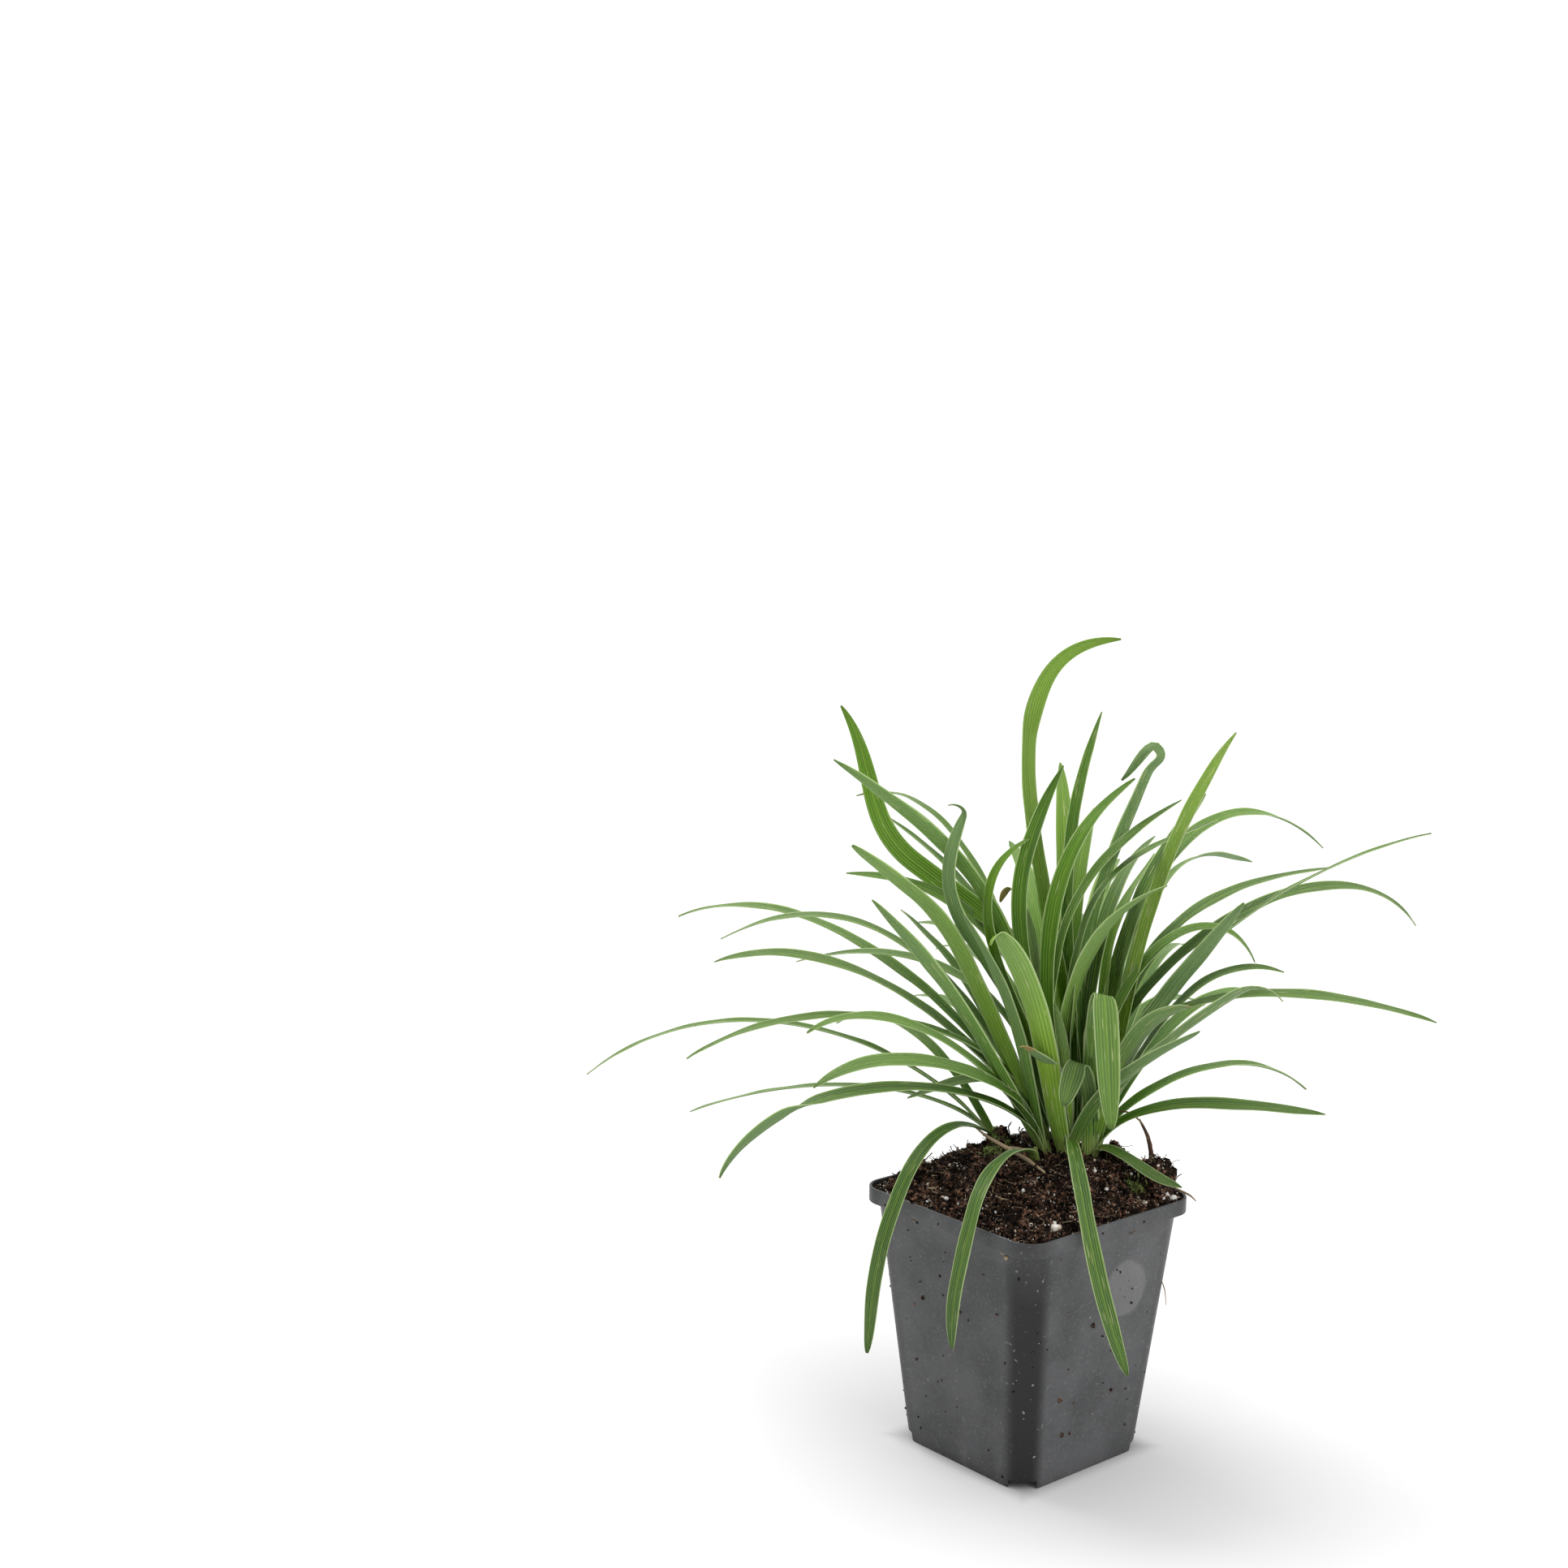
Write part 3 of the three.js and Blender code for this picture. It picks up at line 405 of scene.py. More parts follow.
SHOOTS = {
    "shoot_front_left": (
        (-0.003, 0.013),
        [
            Leaf(235, 20, 0.25, 0.007, -15, [(0.09, 0.046, 125)], bloom=0.42, tone=0.2),
            Leaf(248, -5, 0.25, 0.0075, -25, [(0.092, 0.031, 125)], bloom=0.42, tone=0.0),
            Leaf(231, 10, 0.7, 0.007, -10, [(0.051, 0.019, 110)], bloom=0.42, tone=-0.5, dry=0.05),
            Leaf(239, 30, 0.25, 0.007, 40, [(0.067, 0.098, 45)], bloom=0.15, tone=0.3, wear=0.8),
            Leaf(239, 12, 0.5, 0.008, 20, [(0.032, 0.092, 30)], tone=0.1),
            Leaf(243, 15, 0.25, 0.008, -10, [(0.125, -0.004, 155)], bloom=0.3, tone=-0.9, twist=(0.72, 60)),
        ],
    ),
    "shoot_left": (
        (-0.01, 0.022),
        [
            Leaf(201, 30, 0.25, 0.007, -5, [(0.166, 0.069, 115)], bloom=0.42, tone=-0.1, wear=0.3),
            Leaf(213, 25, 0.55, 0.007, -5, [(0.132, 0.069, 120)], bloom=0.42, tone=-0.1),
            Leaf(223, 30, 0.25, 0.0075, -10, [(0.129, 0.065, 110)], bloom=0.42, tone=-0.5, wear=0.5),
            Leaf(206, 3, 0.55, 0.007, -5, [(0.105, 0.059, 110)], bloom=0.42, tone=0.0),
            Leaf(231, 10, 0.35, 0.0055, -10, [(0.138, 0.031, 125)], bloom=0.42, tone=-0.2),
            Leaf(190, 35, 0.5, 0.0065, 10, [(0.071, 0.08, 60)], bloom=0.15, tone=-0.4),
            Leaf(243, 25, 0.8, 0.009, 35, [(0.078, 0.118, 50)], bloom=0.1, tone=1.0, wear=0.4),
            Leaf(243, 5, 0.6, 0.0075, 30, [(0.035, 0.128, -25), (0.041, 0.132, 110)], bloom=0.1, tone=-0.3),
            Leaf(172, 40, 0.4, 0.007, 0, [(0.092, 0.036, 108)], bloom=0.35, tone=0.0),
        ],
    ),
    "shoot_front": (
        (0.0045, 0.017),
        [
            Leaf(43, -15, 0.6, 0.008, 45, [(-0.008, 0.148, 25)], bloom=0.05, tone=0.1),
            Leaf(73, -15, 0.35, 0.0085, 10, [(0.022, 0.142, 60)], bloom=0.05, tone=0.25, wear=0.3),
            Leaf(43, 0, 0.25, 0.006, 40, [(-0.02, 0.12, 60)], bloom=0.05, tone=0.4),
            Leaf(55, -15, 0.5, 0.007, 10, [(0.037, 0.135, 60)], tone=0.2, wear=0.5),
            Leaf(72, -5, 0.75, 0.0065, -10, [(0.059, 0.124, 75)], tone=-0.4, wear=0.4),
            Leaf(3, -15, 0.4, 0.0085, -5, [(0.04, 0.109, 65)], bloom=0.25, tone=0.7, wear=0.4),
            Leaf(4, 18, 0.35, 0.0075, -20, [(0.056, 0.058, 55)], tone=-0.9),
            Leaf(
                265, -5, 0.7, 0.0075, 15,
                [(0.019, 0.043, 50), (0.023, 0.044, 105)], bloom=0.5, tone=-0.6, dry=0.3,
            ),
            Leaf(300, 3, 0.5, 0.0055, 0, [(0.004, 0.058, 8)], sway=-0.005, tone=1.3),
            Leaf(
                200, 28, 0.55, 0.008, -10,
                [(0.023, 0.098, 30), (0.028, 0.093, 165)], bloom=0.5, tone=-0.6, dry=0.22, twist=(0.93, 70),
            ),
            Leaf(
                266, 22, 0.25, 0.01, 25,
                [(0.034, 0.088, 40), (0.039, 0.085, 160)], bloom=0.0, tone=1.2, wear=0.7,
            ),
            Leaf(
                314, 20, 0.3, 0.0065, -25,
                [(0.05, -0.008, 150), (0.058, -0.064, 182)], sway=0.022, bloom=0.2, tone=-0.9, wear=0.5,
            ),
        ],
    ),
    "shoot_middle": (
        (-0.004, 0.0275),
        [
            Leaf(223, 10, 0.5, 0.007, -25, [(0.086, 0.102, 90)], bloom=0.3, tone=0.1),
            Leaf(185, 20, 0.35, 0.005, 10, [(0.113, 0.121, 110)], bloom=0.3, tone=-0.3),
            Leaf(231, 15, 0.6, 0.0085, 40, [(0.091, 0.148, 55)], bloom=0.0, tone=0.5),
            Leaf(191, 20, 0.55, 0.0065, 10, [(0.091, 0.118, 65)], bloom=0.15, tone=-0.5),
            Leaf(63, 15, 0.25, 0.0075, 25, [(0.012, 0.194, 90)], bloom=0.3, tone=0.8, twist=(0.78, 60)),
            Leaf(88, 0, 0.45, 0.0075, -5, [(0.008, 0.166, 25)], bloom=0.05, tone=0.15, wear=0.8),
            Leaf(
                218, 5, 0.6, 0.008, -30,
                [(0.06, 0.106, 55), (0.09, 0.166, 35)], bloom=0.1, tone=0.4, twist=(0.5, -50),
            ),
        ],
    ),
    "shoot_right": (
        (0.009, 0.025),
        [
            Leaf(58, 15, 0.25, 0.008, 20, [(0.049, 0.16, 35)], bloom=0.35, tone=1.2, wear=1.0),
            Leaf(48, -5, 0.8, 0.007, 15, [(0.057, 0.074, 155)], tone=0.2),
            Leaf(8, 15, 0.25, 0.0095, -25, [(0.039, 0.063, 75)], bloom=0.45, tone=0.6, wear=0.7, dry=0.05),
            Leaf(33, -5, 0.5, 0.0075, 10, [(0.122, 0.06, 105)], bloom=0.4, tone=-0.4, wear=0.4),
            Leaf(28, 25, 0.3, 0.0075, 15, [(0.085, 0.024, 90)], bloom=0.3, tone=-0.2),
            Leaf(
                18, -5, 0.25, 0.008, -20,
                [(0.053, 0.068, 50), (0.071, 0.068, 140)], bloom=0.4, tone=-0.5, wear=1.0, dry=0.06,
            ),
            Leaf(1, 55, 0.25, 0.0055, 15, [(0.042, -0.004, 85)], bloom=0.3, tone=-0.8),
            Leaf(
                315, 5, 0.5, 0.0095, 20,
                [(0.013, 0.063, 25), (0.0185, 0.0635, 150), (0.024, 0.016, 176)],
                sway=0.006, bloom=0.35, tone=0.25, wear=0.6, twist=(0.5, -30),
            ),
            Leaf(
                296, 0, 0.5, 0.009, -10,
                [(0.011, 0.036, 25), (0.016, 0.036, 150), (0.024, 0.0235, 160)],
                sway=-0.003, bloom=0.35, tone=-0.6, wear=0.3,
            ),
            Leaf(
                318, 5, 0.5, 0.007, 10,
                [(0.004, 0.049, 20), (0.0075, 0.0495, 150), (0.01, 0.038, 172)], sway=-0.002, tone=0.1,
            ),
        ],
    ),
    "shoot_back_right": (
        (0.0005, 0.0345),
        [
            Leaf(103, -15, 0.45, 0.008, -25, [(0.042, 0.113, 75)], tone=-0.6),
            Leaf(103, 5, 0.8, 0.0065, -30, [(0.042, 0.106, 55)], tone=0.5, wear=0.4),
            Leaf(73, 5, 0.5, 0.009, 5, [(0.044, 0.133, 40)], bloom=0.3, tone=-0.3, wear=0.5),
            Leaf(78, 0, 0.8, 0.0075, 10, [(0.108, 0.106, 130)], bloom=0.3, tone=0.2),
            Leaf(98, 15, 0.8, 0.0065, -25, [(0.111, 0.094, 105)], bloom=0.35, tone=0.0),
            Leaf(65, 5, 0.6, 0.0075, 5, [(0.095, 0.103, 85)], bloom=0.35, tone=-0.2),
            Leaf(51, -15, 0.4, 0.0075, 15, [(0.12, 0.085, 145)], bloom=0.3, tone=-0.7, wear=0.4),
            Leaf(43, -5, 0.25, 0.005, -6, [(0.12, 0.124, 75)], bloom=0.35, tone=-0.3),
            Leaf(23, 0, 0.25, 0.0085, -40, [(0.054, 0.099, 35)], bloom=0.3, tone=-0.7),
            Leaf(35, 25, 0.25, 0.007, 15, [(0.068, 0.071, 105)], bloom=0.35, tone=-0.2),
            Leaf(
                31, -10, 0.55, 0.0075, -30,
                [(0.015, 0.144, 20), (0.019, 0.153, -30), (0.005, 0.141, 225)],
                bloom=0.15, tone=-0.3, wear=0.8, twist=(0.9, -45),
            ),
            Leaf(88, 40, 0.4, 0.007, 0, [(0.1, 0.042, 112)], bloom=0.3, tone=0.0),
            Leaf(68, 45, 0.35, 0.007, 0, [(0.092, 0.012, 130)], bloom=0.3, tone=-0.1),
            Leaf(108, 30, 0.4, 0.0075, 0, [(0.088, 0.06, 105)], bloom=0.3, tone=-0.2),
        ],
    ),
    "shoot_outer_left": (
        (-0.0275, 0.01),
        [
            Leaf(226, 40, 0.35, 0.0055, 0, [(0.158, 0.019, 130)], bloom=0.42, tone=-0.2),
            Leaf(211, 50, 0.25, 0.0055, 5, [(0.125, -0.005, 115)], bloom=0.42, tone=-0.1),
            Leaf(
                285, 60, 0.5, 0.0056, -10,
                [(0.06, -0.008, 150), (0.061, -0.073, 195)], sway=-0.017, bloom=0.18, tone=-1.3, wear=0.4,
            ),
            Leaf(182, 40, 0.4, 0.006, 0, [(0.088, 0.026, 120)], bloom=0.35, tone=-0.1),
        ],
    ),
    "shoot_back": (
        (-0.013, 0.033),
        [
            Leaf(128, 25, 0.4, 0.0075, 0, [(0.118, 0.058, 120)], bloom=0.3, tone=0.1),
            Leaf(120, 20, 0.45, 0.007, 10, [(0.092, 0.092, 95)], tone=0.3, wear=0.6),
            Leaf(148, 20, 0.45, 0.0075, -10, [(0.095, 0.098, 80)], tone=0.3),
            Leaf(160, 35, 0.4, 0.007, 0, [(0.122, 0.046, 112)], bloom=0.35, tone=-0.3, wear=0.5),
            Leaf(100, 35, 0.35, 0.007, 5, [(0.106, 0.03, 118)], bloom=0.3, tone=-0.1),
            Leaf(138, 10, 0.5, 0.008, 15, [(0.052, 0.138, 55)], tone=0.6, wear=0.5),
            Leaf(172, 25, 0.45, 0.0065, -5, [(0.1, 0.064, 105)], bloom=0.3, tone=0.0),
            Leaf(120, 5, 0.5, 0.0075, -10, [(0.038, 0.122, 60)], tone=0.4),
            Leaf(142, 45, 0.4, 0.007, 0, [(0.086, -0.002, 150)], bloom=0.35, tone=-0.4),
        ],
    ),
    "shoot_young": (
        (0, 0.004),
        [
            Leaf(
                291, 55, 0.25, 0.006, 10,
                [(0.051, -0.008, 155), (0.059, -0.057, 200)], sway=-0.005, bloom=0.18, tone=-1.3, wear=0.5,
            ),
        ],
    ),
}


def bend(start, end, hold, shares):
    """One bend of the midrib in its own upright plane."""
    length = math.hypot(end[0] - start[0], end[1] - start[1])
    leaving, arriving = math.radians(start[2]), math.radians(end[2])
    a = np.array(start[:2])
    b = a + hold * length * np.array([math.sin(leaving), math.cos(leaving)])
    d = np.array(end[:2])
    c = d - BEND_HANDLE * length * np.array([math.sin(arriving), math.cos(arriving)])
    t = shares[:, None]
    return (1 - t) ** 3 * a + 3 * t * (1 - t) ** 2 * b + 3 * t * t * (1 - t) * c + t**3 * d


def midrib(leaf, foot, spacing):
    """Points along the midrib, their share of its length, and the way across the blade."""
    stations = [(0.0, 0.0, leaf.lean), *leaf.way]
    flat = [np.array([[-ROOT_REACH, -ROOT_DEPTH], [-ROOT_REACH / 2, -ROOT_DEPTH / 2], [0.0, 0.0]])]
    for index, (start, end) in enumerate(zip(stations, stations[1:])):
        chord = math.hypot(end[0] - start[0], end[1] - start[1])
        steps = max(8, round(chord * 1.1 / spacing))
        shares = np.linspace(0.0, 1.0, steps + 1)[1:]
        flat.append(bend(start, end, leaf.hold if index == 0 else BEND_HANDLE, shares))
    flat = np.concatenate(flat)
    travelled = np.concatenate([[0.0], np.cumsum(np.hypot(*np.diff(flat, axis=0).T))])
    travelled -= travelled[2]
    shares = np.maximum(travelled / travelled[-1], 0.0)
    turn = math.radians(leaf.turn)
    outward = np.array([math.cos(turn), math.sin(turn), 0.0])
    across = np.array([-math.sin(turn), math.cos(turn), 0.0])
    points = np.array([foot[0], foot[1], FOOT_Z]) + (ROOT_OFFSET + flat[:, :1]) * outward
    points = points + flat[:, 1:] * np.array([0.0, 0.0, 1.0])
    points = points + (leaf.sway * shares**2)[:, None] * across
    return points, shares, travelled, across


def blade_width(shares, width, blunt):
    """Narrow at the root, full from two fifths of the way up, and pointed or blunt at the tip."""
    root = ROOT_WIDTH + (1 - ROOT_WIDTH) * np.clip(shares / FULL_WIDTH_FROM, 0.0, 1.0) ** 0.8
    past = np.clip((shares - TAPER_FROM) / TAPER_LENGTH, 0.0, 1.0)
    tip = np.sqrt(1.0 - past**2.4) if blunt else (1.0 - past**1.9) ** 0.65
    return width * root * np.maximum(tip, TIP_WIDTH)


def blade(leaf, foot, seed, settings):
    """The points, faces and marks of one leaf. Both faces of the blade have their own rows."""
    points, shares, travelled, across = midrib(leaf, foot, settings.row_spacing)
    along = np.gradient(points, axis=0)
    along /= np.linalg.norm(along, axis=1)[:, None]
    side = across - (along @ across)[:, None] * along
    side /= np.linalg.norm(side, axis=1)[:, None]
    face = np.cross(along, side)
    roll = np.full(len(shares), math.radians(leaf.roll))
    if leaf.twist:
        place, angle = leaf.twist
        roll += math.radians(angle) * smoothstep((shares - place) / TWIST_SPREAD + 0.5)
    wave = np.array([noise.noise((seed * 3.7, t * 28.0, 0.0)) for t in travelled])
    roll += math.radians(settings.waviness) * wave
    roll = roll[:, None]
    sideways = np.cos(roll) * side + np.sin(roll) * face
    upper = np.cos(roll) * face - np.sin(roll) * side
    blunt = leaf.width > BLUNT_FROM or points[-1, 2] < BLUNT_BELOW
    half = (blade_width(shares, leaf.width, blunt) / 2)[:, None]
    bending = np.linalg.norm(np.gradient(along, axis=0), axis=1)
    bending /= np.linalg.norm(np.gradient(points, axis=0), axis=1)
    bending = np.convolve(np.pad(bending, 2, "edge"), [0.1, 0.2, 0.4, 0.2, 0.1], "valid")
    half = half * (1.0 - BEND_NARROWING * smoothstep(bending * leaf.width / 3)[:, None])
    fold = (FOLD_AT_ROOT + (FOLD_AT_TIP - FOLD_AT_ROOT) * shares)[:, None]
    fold = fold / (1.0 + (2.0 * bending[:, None] * half) ** 2)
    columns = np.linspace(-1.0, 1.0, settings.columns)
    lift = (np.sqrt(columns**2 + KEEL**2) - KEEL) / (math.sqrt(1 + KEEL**2) - KEEL)
    thickness = settings.thickness * (1.0 - EDGE_THINNING * columns**2)
    ripple = np.array(
        [[noise.noise((seed * 5.1 + c * 1.3, t * 60.0, 4.0)) for c in (-1, 1)] for t in travelled]
    )
    edge = np.where(columns < 0, ripple[:, :1], ripple[:, 1:]) * columns**4 * settings.ripple
    rise = lift * fold * half + edge
    middle = points[:, None, :] + (columns * half)[:, :, None] * sideways[:, None, :]
    top = middle + (rise + thickness / 2)[:, :, None] * upper[:, None, :]
    under = middle + (rise - thickness / 2)[:, :, None] * upper[:, None, :]
    rows = np.concatenate([top, under[:, ::-1]], axis=1)
    count, size = rows.shape[:2]
    row, step = np.meshgrid(np.arange(count - 1), np.arange(size), indexing="ij")
    a = row * size + step
    b = row * size + (step + 1) % size
    faces = np.stack([a, a + size, b + size, b], axis=-1).reshape(-1, 4)
    caps = [tuple(range(size)), tuple(reversed(range((count - 1) * size, count * size)))]
    both = np.concatenate([columns, columns[::-1]])
    marks = {
        "across": np.tile(both, (count, 1)),
        "along": np.tile(travelled[:, None], (1, size)),
        "share": np.tile(shares[:, None], (1, size)),
        "under": np.tile(np.repeat([0.0, 1.0], len(columns)), (count, 1)),
        "seed": np.full((count, size), float(seed)),
        **{mark: np.full((count, size), getattr(leaf, mark)) for mark in LOOKS},
    }
    return rows.reshape(-1, 3), [tuple(f) for f in faces] + caps, marks


def sheath(foot, leaves, seed):
    """The wrapped leaf roots at the crown: a ribbed, drawn-in sleeve round the shoot's foot."""
    girth = SHEATH_GIRTH * min(1.0, 0.5 + 0.1 * len(leaves))
    tone = sum(leaf.tone for leaf in leaves) / len(leaves)
    heights = np.linspace(SHEATH_BOTTOM, SHEATH_TOP, 14)
    angles = np.linspace(0.0, 2 * math.pi, 40, endpoint=False)
    rings = []
    for z in heights:
        share = (z - SHEATH_BOTTOM) / (SHEATH_TOP - SHEATH_BOTTOM)
        neck = girth * math.sqrt(1.0 - 0.9 * smoothstep((share - 0.5) / 0.5))
        ring = []
        for angle in angles:
            rib = 1 + 0.07 * math.sin(angle * 5 + seed + share * 1.6)
            rib += 0.05 * math.sin(angle * 11 + seed * 2.0)
            radius = neck * rib
            ring.append((foot[0] + radius * math.cos(angle), foot[1] + radius * math.sin(angle), z))
        rings.append(ring)
    points, faces = loft(rings)
    count, size = len(heights), len(angles)
    marks = {
        "across": np.tile(np.sin(angles * 3), (count, 1)),
        "along": np.tile(heights[:, None] - SHEATH_TOP, (1, size)),
        "share": np.zeros((count, size)),
        "under": np.zeros((count, size)),
        "seed": np.full((count, size), float(seed)),
        "tone": np.full((count, size), tone),
        "bloom": np.zeros((count, size)),
        "wear": np.zeros((count, size)),
        "dry": np.zeros((count, size)),
    }
    return np.array(points), faces, marks


def shoot_mesh(name, foot, leaves, settings, first_seed):
    """One shoot: its sheath and its leaves as one mesh, with the marks that the finish reads."""
    parts = [sheath(foot, leaves, first_seed)]
    parts += [blade(leaf, foot, first_seed + i, settings) for i, leaf in enumerate(leaves)]
    points = np.concatenate([part[0] for part in parts])
    faces = []
    offset = 0
    for part_points, part_faces, _ in parts:
        faces += [tuple(int(i) + offset for i in face) for face in part_faces]
        offset += len(part_points)
    mesh = mesh_from(name, points, faces)
    for mark in parts[0][2]:
        values = np.concatenate([part[2][mark].reshape(-1) for part in parts])
        mesh.attributes.new(mark, "FLOAT", "POINT").data.foreach_set("value", values)
    return mesh


def leaf_finish(colors):
    """Satin strap leaf: fine veins along it, pale margins, pale dashes, a grey-green underside, and painted
    light and shade.
    """
    finish = Finish(
        "leaf_blade", IOR=1.4, Specular_IOR_Level=0.22, Subsurface_Weight=0.2, Subsurface_Scale=0.0012)
    finish.surface.inputs["Subsurface Radius"].default_value = (0.7, 1.0, 0.2)
    across = finish.attribute("across")
    along = finish.attribute("along")
    share = finish.attribute("share")
    seed = finish.attribute("seed")
    tone = finish.attribute("tone")
    dry = finish.attribute("dry")
    under = finish.attribute("under")
    streaks = finish.noise(finish.combine(across * 6 + seed * 11, along * 14, seed), 1.0, 3.0)
    fine = finish.noise(finish.combine(across * 20 + seed * 5, along * 22, seed), 1.0, 2.0)
    cloud = finish.noise(finish.combine(across * 0.8, along * 26, seed * 3), 1.0, 2.0)
    # Each blade's tone sets how dark or yellow-green it is: partly its own green, partly painted shade on
    # blades that hang in shade and painted light on those that catch it.
    depth = 0.55 + tone * 0.5 + (cloud - 0.5) * 0.8 + (streaks - 0.5) * 0.7
    green = finish.mix(depth.between(0.0, 1.0), colors.leaf_dark, colors.leaf_mid)
    bright = (tone.between(0.0, 1.2) * 0.8 + (streaks - 0.5) * 0.5).at_most(1.0)
    green = finish.mix(bright, green, colors.leaf_bright)
    # Painted sheen: blades grow greyer along their length where they face up and would reflect the bright
    # sky.
    bloom = share.between(0.15, 0.5) * finish.attribute("bloom") * (0.7 + cloud * 0.6)
    green = finish.mix(bloom, green, colors.leaf_painted_sheen)
    # Painted shade: the low part of each blade is darkened, where the crown's leaves shade it.
    green = finish.mix(share.between(0.4, 0.08) * 0.5, green, colors.leaf_low_shade)
    lines = (across * 24 + (streaks - 0.5) * 3).sine()
    vein = lines.between(0.3, 1.0) * 0.28 + (fine - 0.5).between(0.04, 0.25) * 0.35
    green = finish.mix(vein, green, colors.leaf_vein)
    green = finish.mix(lines.between(-0.3, -1.0) * 0.34, green, colors.leaf_dark)
    rib = abs(across).between(0.12, 0.02) * 0.3
    green = finish.mix(rib, green, colors.leaf_vein)
    back = under * (0.15 + share.between(0.3, 0.9) * 0.45)
    green = finish.mix(back, green, colors.leaf_under)
    dashes = finish.noise(finish.combine(across * 6 + seed * 9, along * 90, seed * 2), 1.0, 1.0)
    dash = (dashes + finish.attribute("wear") * 0.13).between(0.74, 0.79)
    green = finish.mix(dash * 0.75, green, colors.leaf_dash)
    margin = abs(across).between(0.84, 0.95) * 0.8
    green = finish.mix(margin, green, colors.leaf_margin)
    tip = (share + (streaks - 0.5) * 0.14 + dry * 0.45).between(1.0, 1.05)
    green = finish.mix(tip, green, colors.leaf_dry)
    root = (along + (streaks - 0.5) * 0.012).between(0.010, -0.004) * 0.8
    green = finish.mix(root, green, colors.leaf_sheath)
    finish.feed(Base_Color=green)
    finish.feed(Roughness=0.38 + (cloud - 0.5) * 0.2 + under * 0.12 + tip * 0.3)
    ridges = lines * 0.5 + fine + streaks * 0.8
    finish.bump(ridges, 0.0003, 0.8)
    return finish.material


# ---------------------------------------------------------------- pot


def wall_half(z):
    return BASE_HALF + (RIM_HALF - LIP_STEP - BASE_HALF) * z / (POT_HEIGHT - LIP_HEIGHT)


def wall_corner(z):
    return BODY_CORNER_BASE + (BODY_CORNER_TOP - BODY_CORNER_BASE) * z / (POT_HEIGHT - LIP_HEIGHT)


def round_ring(radius, z):
    return (radius, radius - ROUND_MARGIN, z)


def rounded_edge(half, corner, z, size, start, end):
    """Rings round an edge, from one angle to the other, about a centre line."""
    rings = []
    for angle in np.radians(np.linspace(start, end, 4)):
        out = size * math.cos(angle)
        rings.append((half + out, corner + out, z + size * math.sin(angle)))
    return rings


def pot_rings():
    """Half width, corner radius and height of each ring, from the underside round to the inside."""
    lip_bottom = POT_HEIGHT - LIP_HEIGHT
    inside_floor = FLOOR_RAISE + FLOOR_THICKNESS
    recess = BASE_HALF - FOOT_RING
    edge = POT_WALL * 0.4
    rings = [
        round_ring(PAD_RADIUS, 0.0),
        round_ring(PAD_RADIUS + FLOOR_RAISE, FLOOR_RAISE),
        (recess - FLOOR_RAISE, BODY_CORNER_BASE - FOOT_RING, FLOOR_RAISE),
        (recess, BODY_CORNER_BASE - FOOT_RING, 0.0),
    ]
    rings += rounded_edge(BASE_HALF - edge, BODY_CORNER_BASE - edge, edge, edge, -90, 0)
    for z in np.linspace(0.1, 1.0, 10) * (lip_bottom - LIP_STEP * 0.3):
        rings.append((wall_half(z), wall_corner(z), z))
    fillet = LIP_STEP * 0.3
    rings.append((wall_half(lip_bottom) + fillet * 0.3, wall_corner(lip_bottom), lip_bottom - fillet * 0.1))
    rings.append((RIM_HALF - edge * 2, RIM_CORNER - edge * 2, lip_bottom))
    rings += rounded_edge(RIM_HALF - edge, RIM_CORNER - edge, lip_bottom + edge, edge, -90, 0)
    rings += rounded_edge(RIM_HALF - edge, RIM_CORNER - edge, POT_HEIGHT - edge, edge, 0, 90)
    inner = RIM_HALF - POT_WALL
    rings.append((inner, RIM_CORNER - POT_WALL, POT_HEIGHT - edge * 0.5))
    rings.append((inner, RIM_CORNER - POT_WALL, lip_bottom + POT_WALL))
    for z in (lip_bottom, inside_floor + POT_WALL):
        rings.append((wall_half(z) - POT_WALL, wall_corner(z) - POT_WALL, z))
    rings += [
        (wall_half(inside_floor) - 2 * POT_WALL, wall_corner(inside_floor) - 2 * POT_WALL, inside_floor),
        round_ring(PAD_RADIUS + FLOOR_RAISE, inside_floor),
        round_ring(PAD_RADIUS, FLOOR_THICKNESS),
    ]
    return rings


def drain_cutter():
    """The corner slots and the round drain holes, as one mesh to cut with."""
    points = []
    faces = []
    reach = (BASE_HALF - BODY_CORNER_BASE) * math.sqrt(2) + BODY_CORNER_BASE
    box = [(0, 1, 3, 2), (4, 6, 7, 5), (0, 4, 5, 1), (2, 3, 7, 6), (0, 2, 6, 4), (1, 5, 7, 3)]
    for quarter in range(4):
        turn = Matrix.Rotation(math.pi / 4 + quarter * math.pi / 2, 3, "Z")
        first = len(points)
        for x in (-NOTCH_DEPTH / 2, NOTCH_DEPTH / 2):
            for y in (-NOTCH_WIDTH / 2, NOTCH_WIDTH / 2):
                for z in (-NOTCH_HEIGHT, NOTCH_HEIGHT):
                    points.append(turn @ Vector((reach + x, y, z)))
        faces += [tuple(first + i for i in face) for face in box]
    sides = 24
    for hole in range(DRAIN_HOLES):
        angle = (hole + 0.5) / DRAIN_HOLES * 2 * math.pi
        x, y = DRAIN_CIRCLE * math.cos(angle), DRAIN_CIRCLE * math.sin(angle)
        first = len(points)
        for z in DRAIN_CUT:
            for step in range(sides):
                around = step / sides * 2 * math.pi
                points.append((x + DRAIN_RADIUS * math.cos(around), y + DRAIN_RADIUS * math.sin(around), z))
        for step in range(sides):
            a, b = first + step, first + (step + 1) % sides
            faces.append((a, b, b + sides, a + sides))
        faces.append(tuple(first + step for step in reversed(range(sides))))
        faces.append(tuple(first + sides + step for step in range(sides)))
    return mesh_from("drain_cutter", points, faces, smooth=False)


